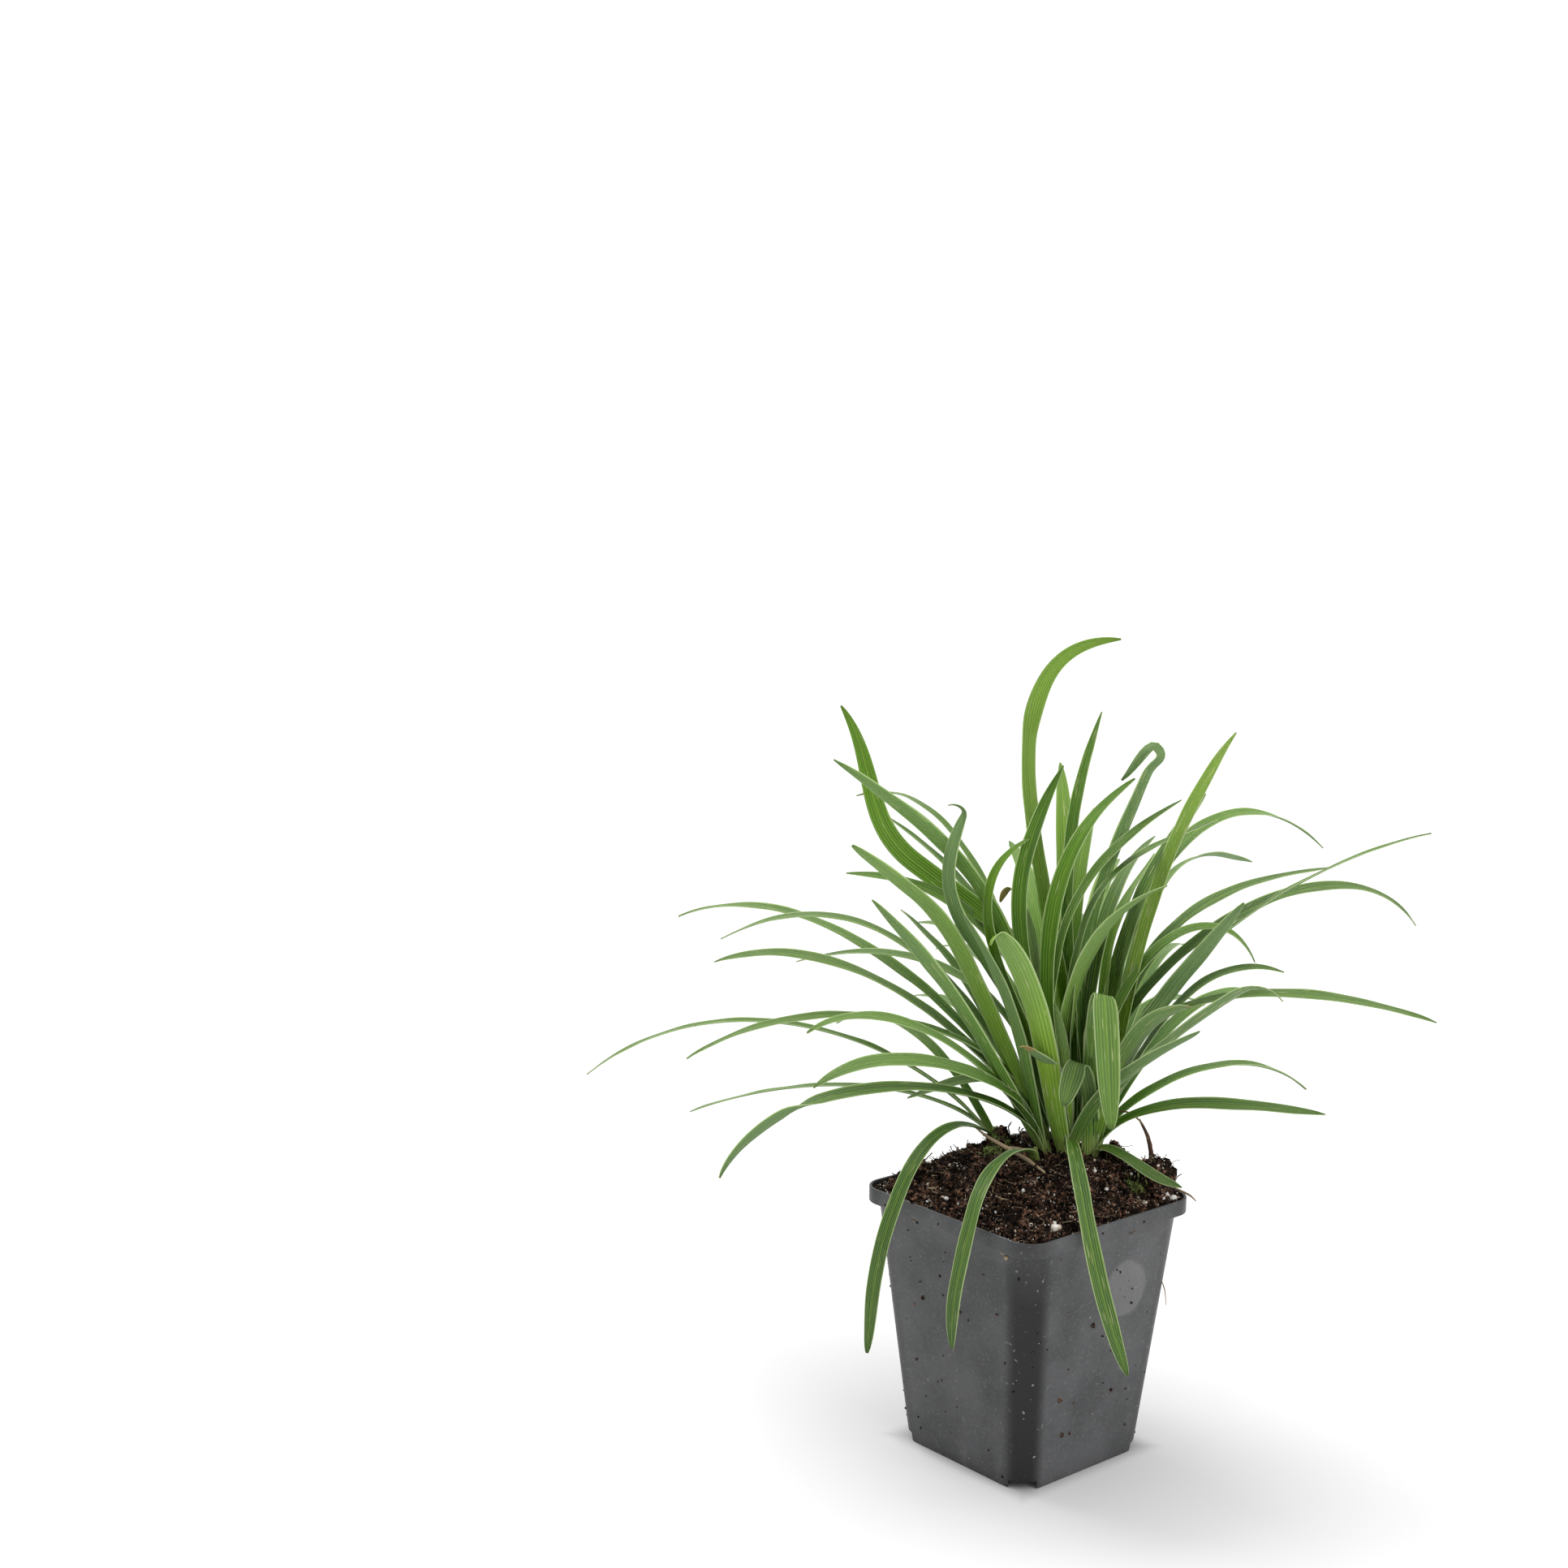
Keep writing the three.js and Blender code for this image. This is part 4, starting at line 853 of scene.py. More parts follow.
def pot_finish(colors):
    """Dark grey moulded plastic: a painted dark reflection down the rounded corners, faint mottling, a pale
    patch and dust.
    """
    finish = Finish("pot_plastic", Specular_IOR_Level=0.36)
    place = finish.place()
    x, y, z = finish.separate(place)
    cloud = finish.noise(place, 45.0, 4.0, 0.6)
    grain = finish.noise(place, 900.0, 2.0, 0.6)
    smear = finish.noise(finish.combine(x * 60, y * 60, z * 14), 1.0, 3.0)
    base = finish.mix(cloud.between(0.3, 0.7), colors.pot_dark, colors.pot_light)
    base = finish.mix((grain - 0.5).between(0.05, 0.22) * 0.16, base, colors.pot_dust)
    flat = (BASE_HALF - BODY_CORNER_BASE) + z * (FLAT_GAIN / (POT_HEIGHT - LIP_HEIGHT))
    # The dark band down each rounded corner is a painted reflection of the dim side of the studio, fainter
    # near the rim; dust specks lie on it more thickly.
    corner = (abs(x).at_most(abs(y)) - flat).between(-0.0012, 0.0048)
    corner = corner * (z.between(0.096, 0.072) * 0.6 + 0.4)
    base = finish.mix(corner * 0.95, base, colors.pot_corner_reflection)
    speck = finish.noise(place, 520.0, 1.0).between(0.70, 0.76) * (corner * 0.6 + 0.12)
    base = finish.mix(speck, base, colors.pot_dust)
    ring = finish.node(
        "ShaderNodeVectorMath", {"operation": "DISTANCE"}, {0: place, 1: PATCH_CENTRE})
    patch = Number(finish, ring.outputs["Value"]) + (cloud - 0.5) * 0.012
    base = finish.mix(patch.between(0.0125, 0.0098) * 0.24, base, colors.pot_dust)
    dust = (smear - 0.5).between(0.05, 0.25) * z.between(0.03, 0.0) * 0.25
    base = finish.mix(dust, base, colors.pot_dust)
    finish.feed(Base_Color=base)
    finish.feed(Roughness=0.4 + (cloud - 0.5) * 0.12 + (smear - 0.5) * 0.12 + grain * 0.04)
    finish.bump(grain * 0.4 + smear * 0.5, 0.00008, 0.35)
    return finish.material


# ---------------------------------------------------------------- compost


def crumble(x, y):
    """The same low waves as the solid has, which works in millimetres."""
    x, y = x * 1000, y * 1000
    coarse = math.sin(x * 0.61 + 1.3) * math.sin(y * 0.53 + 0.4)
    medium = math.sin(x * 1.37 + y * 0.71) * math.sin(y * 1.21 - x * 0.43 + 2.1)
    return 0.6 * coarse + 0.4 * medium


def soil_height(x, y, share):
    """The height of the compost at a place, with finer lumps and pits than the solid has."""
    rise = float(smoothstep(share / MOUND_SHOULDER))
    height = SOIL_EDGE_Z + SOIL_MOUND * rise + 0.0011 * crumble(x, y)
    lumps = noise.fractal((x * 190, y * 190, 1.7), 0.7, 2.1, 3)
    pits = noise.turbulence((x * 330, y * 330, 5.0), 3, True) - 0.5
    return height + (0.0022 * lumps + 0.0024 * pits) * min(1.0, share * 12)


def share_at(x, y):
    """How far a place is from the compost's edge (0) on the way to the mound's middle (1)."""
    half = RIM_HALF - POT_WALL - SOIL_GAP
    dx, dy = x - MOUND_CENTRE[0], y - MOUND_CENTRE[1]
    to_x = (math.copysign(half, dx) - MOUND_CENTRE[0]) / dx if dx else 1e9
    to_y = (math.copysign(half, dy) - MOUND_CENTRE[1]) / dy if dy else 1e9
    return 1 - 1 / min(to_x, to_y)


def ground(x, y, above=0.0):
    """The point on the compost at a place, or a little above it."""
    return Vector((x, y, soil_height(x, y, share_at(x, y)) + above))


def compost_bed():
    """The body of compost, from the pot's floor to the crumbly mound."""
    lip_bottom = POT_HEIGHT - LIP_HEIGHT
    bottom = FLOOR_RAISE + FLOOR_THICKNESS + SOIL_GAP
    inset = POT_WALL + SOIL_GAP
    detail = (12, 64)
    rings = []
    for z, extra in ((bottom, POT_WALL), (bottom + POT_WALL + SOIL_GAP, 0.0), (lip_bottom + SOIL_GAP, 0.0)):
        half = wall_half(z) - inset - extra
        rings.append(square_ring(half, wall_corner(z) - inset - extra, z, *detail))
    edge = square_ring(RIM_HALF - inset, RIM_CORNER - inset, lip_bottom + inset, *detail)
    rings.append(edge)
    count = 72
    for step in range(count):
        share = step / count
        ring = []
        for x, y, _ in edge:
            px = x + (MOUND_CENTRE[0] - x) * share
            py = y + (MOUND_CENTRE[1] - y) * share
            ring.append((px, py, soil_height(px, py, share)))
        rings.append(ring)
    return loft(rings)


# Clods that stand out: where they lie, their radius and how flat they are.
CLODS = [
    (0.0342, 0.0348, 0.0072, 1.15),
    (0.029, 0.038, 0.004, 1.0),
    (0.038, 0.031, 0.0034, 0.9),
    (0.037, -0.004, 0.0026, 0.8),
    (-0.0385, -0.002, 0.0036, 0.8),
    (-0.033, -0.003, 0.0040, 0.8),
    (-0.038, 0.009, 0.0030, 0.9),
    (-0.024, 0.009, 0.0046, 0.8),
    (-0.018, 0.004, 0.0036, 0.7),
    (0.028, 0.028, 0.0036, 0.8),
    (0.016, 0.030, 0.0040, 0.7),
    (-0.012, -0.026, 0.0036, 0.8),
    (0.012, -0.034, 0.0032, 0.8),
    (0.026, -0.022, 0.0034, 0.7),
    (-0.033, -0.026, 0.0036, 0.8),
    (0.004, -0.014, 0.0040, 0.7),
]


def rough_ball(centre, radius, flatness, seed, level=4):
    """A crumbly ball: an icosphere pushed in and out by a fractal."""
    ball = bmesh.new()
    bmesh.ops.create_icosphere(ball, subdivisions=level, radius=1.0)
    points = []
    for vertex in ball.verts:
        way = vertex.co.normalized()
        push = 1 + 0.28 * noise.noise(way * 1.7 + Vector((seed, 0, 0)))
        push += 0.16 * noise.fractal(way * 5.0 + Vector((0, seed, 0)), 0.6, 2.1, 3)
        at = way * push * radius
        points.append((centre[0] + at.x, centre[1] + at.y, centre[2] + at.z * flatness))
    faces = [tuple(vertex.index for vertex in face.verts) for face in ball.faces]
    ball.free()
    return points, faces


def joined(parts):
    """Several lists of points and faces as one."""
    points = []
    faces = []
    for part_points, part_faces in parts:
        offset = len(points)
        points += part_points
        faces += [tuple(index + offset for index in face) for face in part_faces]
    return points, faces


def peat_finish(name, colors, shine):
    """Damp peat: near black to red-brown from crumb to crumb, with a few pale flecks painted in as wet
    glints and specks of fibre.
    """
    finish = Finish(name, Specular_IOR_Level=shine)
    place = finish.place()
    clump = finish.noise(place, 170.0, 2.0)
    crumb = finish.noise(place, 620.0, 3.0, 0.6)
    grain = finish.noise(place, 2300.0, 2.0, 0.7)
    peat = finish.mix(crumb.between(0.40, 0.62), colors.peat_dark, colors.peat_mid)
    dry = (crumb * 0.6 + grain * 0.4).between(0.50, 0.62) * (clump.between(0.42, 0.62) * 0.75 + 0.2)
    peat = finish.mix(dry, peat, colors.peat_red)
    peat = finish.mix(clump.between(0.54, 0.38) * 0.8, peat, colors.peat_dark)
    # Pale flecks painted into the colour: specks of fibre, and painted glints where wet peat would shine.
    fleck_and_painted_glint = finish.noise(place, 1300.0, 1.0).between(0.70, 0.76) * 0.7
    peat = finish.mix(fleck_and_painted_glint, peat, colors.fibre)
    finish.feed(Base_Color=peat)
    finish.feed(Roughness=0.5 + crumb * 0.4)
    finish.bump(grain + crumb, 0.0006, 0.9)
    return finish.material


def grit_finish(colors):
    """Perlite and small stones: white to pale tan, from grain to grain."""
    finish = Finish("perlite", Specular_IOR_Level=0.4)
    place = finish.place()
    pick = finish.noise(place, 190.0, 0.0)
    grain = finish.noise(place, 2600.0, 2.0)
    grit = finish.mix(pick.between(0.4, 0.6), colors.perlite, colors.grit)
    grit = finish.mix(grain.between(0.45, 0.75) * 0.5, grit, colors.fibre)
    finish.feed(Base_Color=grit, Roughness=0.6 + grain * 0.3)
    finish.bump(grain, 0.0002, 0.6)
    return finish.material


def fibre_finish(name, colors, brown=1.0):
    """Dry fibre: tan to brown along and between the strands."""
    finish = Finish(name, Specular_IOR_Level=0.3)
    place = finish.place()
    pick = finish.noise(place, 160.0, 2.0)
    fine = finish.noise(place, 1500.0, 2.0)
    tone = finish.mix(pick.between(0.35, 0.65) * brown, colors.fibre, colors.bark)
    tone = finish.mix(fine.between(0.5, 0.8) * 0.5, tone, colors.peat_mid)
    finish.feed(Base_Color=tone, Roughness=0.7 + fine * 0.25)
    finish.bump(fine, 0.0002, 0.6)
    return finish.material


def moss_finish(colors):
    """Moss: dark green to yellow-green in fine random blotches."""
    finish = Finish("moss", Specular_IOR_Level=0.2)
    pick = finish.noise(finish.place(), 600.0, 2.0)
    tone = finish.mix(pick.between(0.35, 0.65), colors.moss_dark, colors.moss_light)
    finish.feed(Base_Color=tone, Roughness=0.7 + pick * 0.2)
    return finish.material


SCATTER = {
    "Density": "NodeSocketFloat",
    "Seed": "NodeSocketInt",
    "Smallest": "NodeSocketFloat",
    "Largest": "NodeSocketFloat",
    "Flatness": "NodeSocketFloat",
    "Lift": "NodeSocketFloat",
    "Roughness": "NodeSocketFloat",
    "Centre": "NodeSocketVector",
    "Within": "NodeSocketFloat",
    "Inside": "NodeSocketFloat",
    "Facing": "NodeSocketVector",
    "Material": "NodeSocketMaterial",
}


def random_size(rule):
    """A random size for each point, drawn so that small ones are the more common."""
    given = rule.given.outputs
    inputs = {"Min": 0.0, "Max": 1.0, "Seed": given["Seed"]}
    draw = rule.value("FunctionNodeRandomValue", {"data_type": "FLOAT"}, inputs)
    small, large = Number(rule, given["Smallest"]), Number(rule, given["Largest"])
    return small + (large - small) * draw**2.2


def scattered_points(rule):
    """Points on the faces that look the given way, near a centre and inside the pot's walls."""
    given = rule.given.outputs
    normal = rule.node("GeometryNodeInputNormal").outputs[0]
    place = rule.node("GeometryNodeInputPosition").outputs[0]
    look = rule.value(
        "ShaderNodeVectorMath", {"operation": "DOT_PRODUCT"}, {0: normal, 1: given["Facing"]}, "Value")
    far = rule.value(
        "ShaderNodeVectorMath", {"operation": "DISTANCE"}, {0: place, 1: given["Centre"]}, "Value")
    split = rule.node("ShaderNodeSeparateXYZ", None, {0: place})
    x, y = (Number(rule, socket) for socket in split.outputs[:2])
    aside = abs(x).at_least(abs(y))
    chosen = look.above(0.3) * far.below(given["Within"]) * aside.below(given["Inside"])
    inputs = {
        "Mesh": given["Geometry"],
        "Selection": chosen,
        "Density": given["Density"],
        "Seed": given["Seed"],
    }
    return rule.node("GeometryNodeDistributePointsOnFaces", None, inputs)


def strew(rule, shape, scale, turns):
    """Copies of a shape on the scattered points, each turned at random between two limits."""
    given = rule.given.outputs
    inputs = {"Min": turns[0], "Max": turns[1], "Seed": given["Seed"]}
    turn = rule.node("FunctionNodeRandomValue", {"data_type": "FLOAT_VECTOR"}, inputs)
    inputs = {
        "Points": scattered_points(rule).outputs["Points"],
        "Instance": shape,
        "Rotation": rule.output_of(turn, "Value"),
        "Scale": scale,
    }
    strewn = rule.node("GeometryNodeInstanceOnPoints", None, inputs)
    return rule.node("GeometryNodeRealizeInstances", None, {"Geometry": strewn.outputs[0]}).outputs[0]


def roughened(rule, geometry, fineness, detail):
    """The geometry pushed about by a noise, and lifted off the surface."""
    given = rule.given.outputs
    place = rule.node("GeometryNodeInputPosition").outputs[0]
    inputs = {"Vector": place, "Scale": fineness, "Detail": detail}
    wobble = rule.output_of(rule.node("ShaderNodeTexNoise", None, inputs), "Color")
    inputs = {0: wobble, 1: (0.5, 0.5, 0.5)}
    centred = rule.node("ShaderNodeVectorMath", {"operation": "SUBTRACT"}, inputs)
    inputs = {0: centred.outputs[0], "Scale": given["Roughness"]}
    push = rule.node("ShaderNodeVectorMath", {"operation": "SCALE"}, inputs)
    lift = rule.node("ShaderNodeCombineXYZ", None, {2: given["Lift"]})
    inputs = {0: push.outputs[0], 1: lift.outputs[0]}
    shift = rule.node("ShaderNodeVectorMath", {"operation": "ADD"}, inputs)
    inputs = {"Geometry": geometry, "Offset": shift.outputs[0]}
    return rule.node("GeometryNodeSetPosition", None, inputs).outputs[0]


def crumb_rule(name, detail):
    """Rough grains strewn on a surface, each turned and sized at random and partly sunk in."""
    rule = Rule(name, **SCATTER)
    grain = rule.node("GeometryNodeMeshIcoSphere", None, {"Radius": 1.0, "Subdivisions": detail})
    size = random_size(rule)
    flat = size * rule.given.outputs["Flatness"]
    scale = rule.node("ShaderNodeCombineXYZ", None, {0: size, 1: size * 0.7, 2: flat})
    turns = ((0.0, 0.0, 0.0), (6.28, 6.28, 6.28))
    strewn = strew(rule, grain.outputs["Mesh"], scale.outputs[0], turns)
    rule.finish(roughened(rule, strewn, 1300.0, 1.0))
    return rule


def strand_rule(name, low, high):
    """Thin bent strands on a surface, tilted between two angles: negative ones stand up."""
    rule = Rule(name, **SCATTER)
    ends = {"Start": (0.0, 0.0, 0.0), "Middle": (0.35, 0.3, 0.0), "End": (1.0, 0.0, 0.1)}
    curve = rule.node("GeometryNodeCurveQuadraticBezier", None, {"Resolution": 5, **ends})
    inputs = {"Resolution": 3, "Radius": rule.given.outputs["Flatness"]}
    profile = rule.node("GeometryNodeCurvePrimitiveCircle", None, inputs)
    inputs = {"Curve": curve.outputs[0], "Profile Curve": profile.outputs[0], "Fill Caps": True}
    strand = rule.node("GeometryNodeCurveToMesh", None, inputs)
    size = random_size(rule)
    scale = rule.node("ShaderNodeCombineXYZ", None, {0: size, 1: size, 2: size})
    turns = ((-0.5, low, 0.0), (0.5, high, 6.28))
    strewn = strew(rule, strand.outputs[0], scale.outputs[0], turns)
    rule.finish(roughened(rule, strewn, 350.0, 2.0))
    return rule


UP = (0.0, 0.0, 1.0)
CROWN = (MOUND_CENTRE[0], MOUND_CENTRE[1], SOIL_EDGE_Z + SOIL_MOUND)
EVERYWHERE = 1.0


def strand(points, radii, sides=8, bends=6):
    """A round strand along a smooth line through the points, with a radius at each."""
    line = [Vector(p) for p in points]
    way = []
    thick = []
    last = len(line) - 1
    for i in range(last):
        before, start = line[max(i - 1, 0)], line[i]
        end, after = line[i + 1], line[min(i + 2, last)]
        for step in range(bends + (i == last - 1)):
            t = step / bends
            smooth = 2 * start + (end - before) * t
            smooth += (2 * before - 5 * start + 4 * end - after) * t**2
            smooth += (3 * start - before - 3 * end + after) * t**3
            way.append(smooth / 2)
            thick.append(radii[i] + (radii[i + 1] - radii[i]) * t)
    rings = []
    for i, centre in enumerate(way):
        along = (way[min(i + 1, len(way) - 1)] - way[max(i - 1, 0)]).normalized()
        side = along.cross(Vector((0.31, 0.17, 0.94))).normalized()
        other = along.cross(side)
        ring = []
        for step in range(sides):
            angle = step / sides * 2 * math.pi
            radius = thick[i] * (1 + 0.25 * noise.noise(centre * 900 + Vector((angle, 0, 0))))
            ring.append(tuple(centre + (side * math.cos(angle) + other * math.sin(angle)) * radius))
        rings.append(ring)
    return loft(rings)


# Pale stones and chips of wood that show singly: place, radius and flatness.
STONES = [
    (0.037, -0.0076, 0.0019, 0.6),
    (0.0378, 0.0351, 0.0017, 0.8),
    (0.0385, 0.0311, 0.0014, 0.8),
    (0.0388, 0.0225, 0.0011, 0.8),
    (0.0402, 0.0372, 0.0016, 0.8),
    (-0.0285, 0.0065, 0.0017, 0.7),
    (0.0337, -0.0331, 0.0008, 0.8),
    (0.0053, -0.0245, 0.0008, 0.8),
    (0.0375, -0.0240, 0.0022, 0.55),
    (0.0120, -0.0330, 0.0010, 0.8),
    (0.0230, -0.0390, 0.0009, 0.8),
    (-0.0080, -0.0350, 0.0009, 0.8),
    (-0.0180, -0.0140, 0.0010, 0.8),
    (0.0290, 0.0120, 0.0009, 0.8),
]

# Twigs, the second a fork of the first: points along each, and the radius at each point.
TWIGS = [
    (
        [(-0.0311, 0.0002, 0.1190), (-0.0198, -0.0021, 0.1170), (-0.0074, -0.0041, 0.1160),
         (0.0052, -0.0065, 0.1152), (0.0170, -0.0088, 0.1135)],
        [0.0003, 0.0006, 0.0008, 0.0009, 0.0004],
    ),
    (
        [(-0.0074, -0.0041, 0.1160), (-0.0030, -0.0020, 0.1164), (0.0015, 0.0010, 0.1160)],
        [0.0006, 0.0004, 0.0002],
    ),
    (
        [(0.0330, 0.0400, 0.1035), (0.0390, 0.0415, 0.1020), (0.0440, 0.0420, 0.1012),
         (0.0485, 0.0405, 0.1003)],
        [0.0005, 0.0005, 0.0004, 0.0002],
    ),
]

# Moss grows in patches: the middle of each and its reach.
MOSS = [
    ((-0.0138, -0.0036), 0.0052),
    ((-0.0195, 0.0035), 0.0044),
    ((0.0316, 0.0260), 0.0038),
]


# Crumbs and hairs that stick to the pot's walls: where each is, and a crumb's radius.
STUCK_PEAT = [
    (0.0366, -0.0184, 0.0339, 0.0009),
    (0.0351, -0.0152, 0.0189, 0.0008),
    (0.0394, -0.0046, 0.0600, 0.0009),
    (-0.0145, -0.0396, 0.0628, 0.0008),
    (-0.0043, -0.0409, 0.0747, 0.0005),
    (0.0055, -0.0397, 0.0633, 0.0006),
    (0.0365, 0.0100, 0.0300, 0.0006),
    (-0.0200, -0.0370, 0.0360, 0.0005),
    (-0.0400, 0.0100, 0.0640, 0.0009),
    (0.0080, 0.0390, 0.0550, 0.0009),
    (-0.0220, 0.0410, 0.0750, 0.0007),
]
STUCK_BARK = [
    (0.0296, -0.0430, 0.0945, 0.0011),
    (0.0312, -0.0428, 0.0925, 0.0008),
    (0.0434, -0.0345, 0.0965, 0.0009),
    (-0.0430, -0.0210, 0.0930, 0.0009),
]
STUCK_HAIRS = [
    [(-0.0178, -0.0432, 0.0938), (-0.0163, -0.0435, 0.0930), (-0.0146, -0.0432, 0.0942)],
    [(0.0450, -0.0135, 0.0990), (0.0454, -0.0117, 0.0975), (0.0450, -0.0108, 0.0958)],
    [(0.0432, 0.0105, 0.0925), (0.0436, 0.0122, 0.0936), (0.0434, 0.0142, 0.0955)],
    [(0.0388, 0.0333, 0.0690), (0.0394, 0.0352, 0.0640), (0.0392, 0.0366, 0.0575)],
]


# ---------------------------------------------------------------- settings


def color(name, description, value):
    return FloatVectorProperty(
        name=name, description=description, subtype="COLOR", size=3, min=0.0, max=1.0, default=value)


def length(name, description, value):
    return FloatProperty(name=name, description=description, default=value, unit="LENGTH", precision=5)


def direction(name, description, degrees):
    return FloatProperty(
        name=name, description=description, default=math.radians(degrees), subtype="ANGLE",
        unit="ROTATION")


class LiriopeColors(bpy.types.PropertyGroup):
    """The colours of every finish."""

    # Leaf dark, leaf and leaf bright are mixed by each blade's tone, which is partly painted shade and
    # painted light.
    leaf_dark: color("Leaf dark", "Green of the shaded, older blades", (0.026, 0.078, 0.013))
    leaf_mid: color("Leaf", "Green of most blades", (0.080, 0.215, 0.010))
    leaf_bright: color("Leaf bright", "Yellow-green of the youngest blades", (0.28, 0.47, 0.014))
    leaf_vein: color("Leaf vein", "Pale lines along the blade", (0.30, 0.50, 0.055))
    leaf_under: color("Leaf underside", "Grey-green of the underside", (0.22, 0.34, 0.15))
    # Painted sheen: the grey of the sky's reflection on blades that face up.
    leaf_painted_sheen: color("Leaf bloom", "Grey bloom on the older, outer blades", (0.25, 0.33, 0.16))
    # Painted shade low on the blades, inside the crown.
    leaf_low_shade: color("Leaf stem", "Deeper green low on the blades", (0.055, 0.140, 0.010))
    leaf_margin: color("Leaf margin", "Thin pale edge of the blade", (0.44, 0.55, 0.27))
    leaf_dash: color("Leaf dash", "Pale tan marks along the veins", (0.48, 0.50, 0.24))
    leaf_dry: color("Leaf dry", "Withered tips", (0.42, 0.30, 0.13))
    leaf_sheath: color("Leaf sheath", "Pale leaf roots at the crown", (0.36, 0.46, 0.12))
    pot_dark: color("Pot dark", "Darker clouds in the plastic", (0.043, 0.044, 0.046))
    pot_light: color("Pot light", "Lighter clouds in the plastic", (0.077, 0.078, 0.081))
    # Painted dark reflection down the pot's rounded corners.
    pot_corner_reflection: color("Pot corner", "The rounded corners, which look darker", (0.006, 0.006, 0.007))
    pot_dust: color("Pot dust", "Fine dust on the plastic", (0.30, 0.30, 0.30))
    peat_dark: color("Peat dark", "Wet peat", (0.0050, 0.0036, 0.0028))
    peat_mid: color("Peat", "Most of the compost", (0.046, 0.023, 0.015))
    peat_red: color("Peat red", "Drier red-brown crumbs", (0.38, 0.205, 0.13))
    fibre: color("Fibre", "Dry tan fibres", (0.40, 0.30, 0.19))
    bark: color("Bark", "Brown stalks and bark", (0.095, 0.046, 0.028))
    perlite: color("Perlite", "White perlite", (0.78, 0.76, 0.72))
    grit: color("Grit", "Tan stones", (0.46, 0.38, 0.30))
    moss_dark: color("Moss dark", "Inside of the moss", (0.07, 0.10, 0.025))
    moss_light: color("Moss light", "Tips of the moss", (0.30, 0.38, 0.11))
    floor: color("Floor", "Studio floor", (0.45, 0.45, 0.45))


class LeafSettings(bpy.types.PropertyGroup):
    """How finely and how unevenly the blades are made."""

    row_spacing: length("Row spacing", "Distance between rows of points along a blade", 0.0026)
    columns: IntProperty(name="Columns", description="Points across each face", default=9, min=5)
    thickness: length("Thickness", "Thickness of a blade at its midrib", 0.0005)
    waviness: FloatProperty(name="Waviness", description="Slow turning of a blade, in degrees", default=9.0)
    ripple: length("Ripple", "Unevenness of a blade's edges", 0.0006)


class CompostSettings(bpy.types.PropertyGroup):
    """How much litter lies on the compost, for each square metre."""

    clods: FloatProperty(name="Clods", description="Lumps of peat", default=22000.0)
    crumbs: FloatProperty(name="Crumbs", description="Large crumbs", default=175000.0)
    fines: FloatProperty(name="Fines", description="Small crumbs", default=620000.0)
    perlite: FloatProperty(name="Perlite", description="White grains", default=26000.0)
    dust: FloatProperty(name="Dust", description="Tiny white grains", default=240000.0)
    shreds: FloatProperty(name="Shreds", description="Brown shreds", default=170000.0)
    fibres: FloatProperty(name="Fibres", description="Tan fibres", default=110000.0)
    seed: IntProperty(name="Seed", description="Changes where the litter falls", default=4)


class StageSettings(bpy.types.PropertyGroup):
    """Where the camera stands and how bright the studio is."""

    camera_place: FloatVectorProperty(
        name="Camera", description="Place of the lens", subtype="XYZ", unit="LENGTH",
        default=(0.57777, -0.61098, 0.3832))
    camera_turn: FloatVectorProperty(
        name="Camera turn", description="Pitch, heading and roll of the camera", subtype="EULER",
        unit="ROTATION", default=(math.radians(81.3), math.radians(49.8), math.radians(0.56)))
    focal_length: FloatProperty(name="Focal length", description="In millimetres", default=52.55)
    sky: FloatProperty(name="Sky", description="Brightness all round", default=1.05)
    key: FloatProperty(name="Key", description="Strength of the main light", default=2.2)
    key_heading: direction("Key heading", "Compass heading of the main light", 186)
    key_height: direction("Key height", "Angle of the main light above the floor", 52)
    fill: FloatProperty(name="Fill", description="Strength of the fill light", default=0.9)
    fill_heading: direction("Fill heading", "Compass heading of the fill light", 5)
    fill_height: direction("Fill height", "Angle of the fill light above the floor", 40)


class LiriopeSettings(bpy.types.PropertyGroup):
    """All the settings of the plant."""

    colors: PointerProperty(type=LiriopeColors, name="Colours", description="Colours of the finishes")
    leaves: PointerProperty(type=LeafSettings, name="Leaves", description="Blades")
    compost: PointerProperty(type=CompostSettings, name="Compost", description="Litter on the compost")
    stage: PointerProperty(type=StageSettings, name="Stage", description="Camera and light")


# ---------------------------------------------------------------- operators


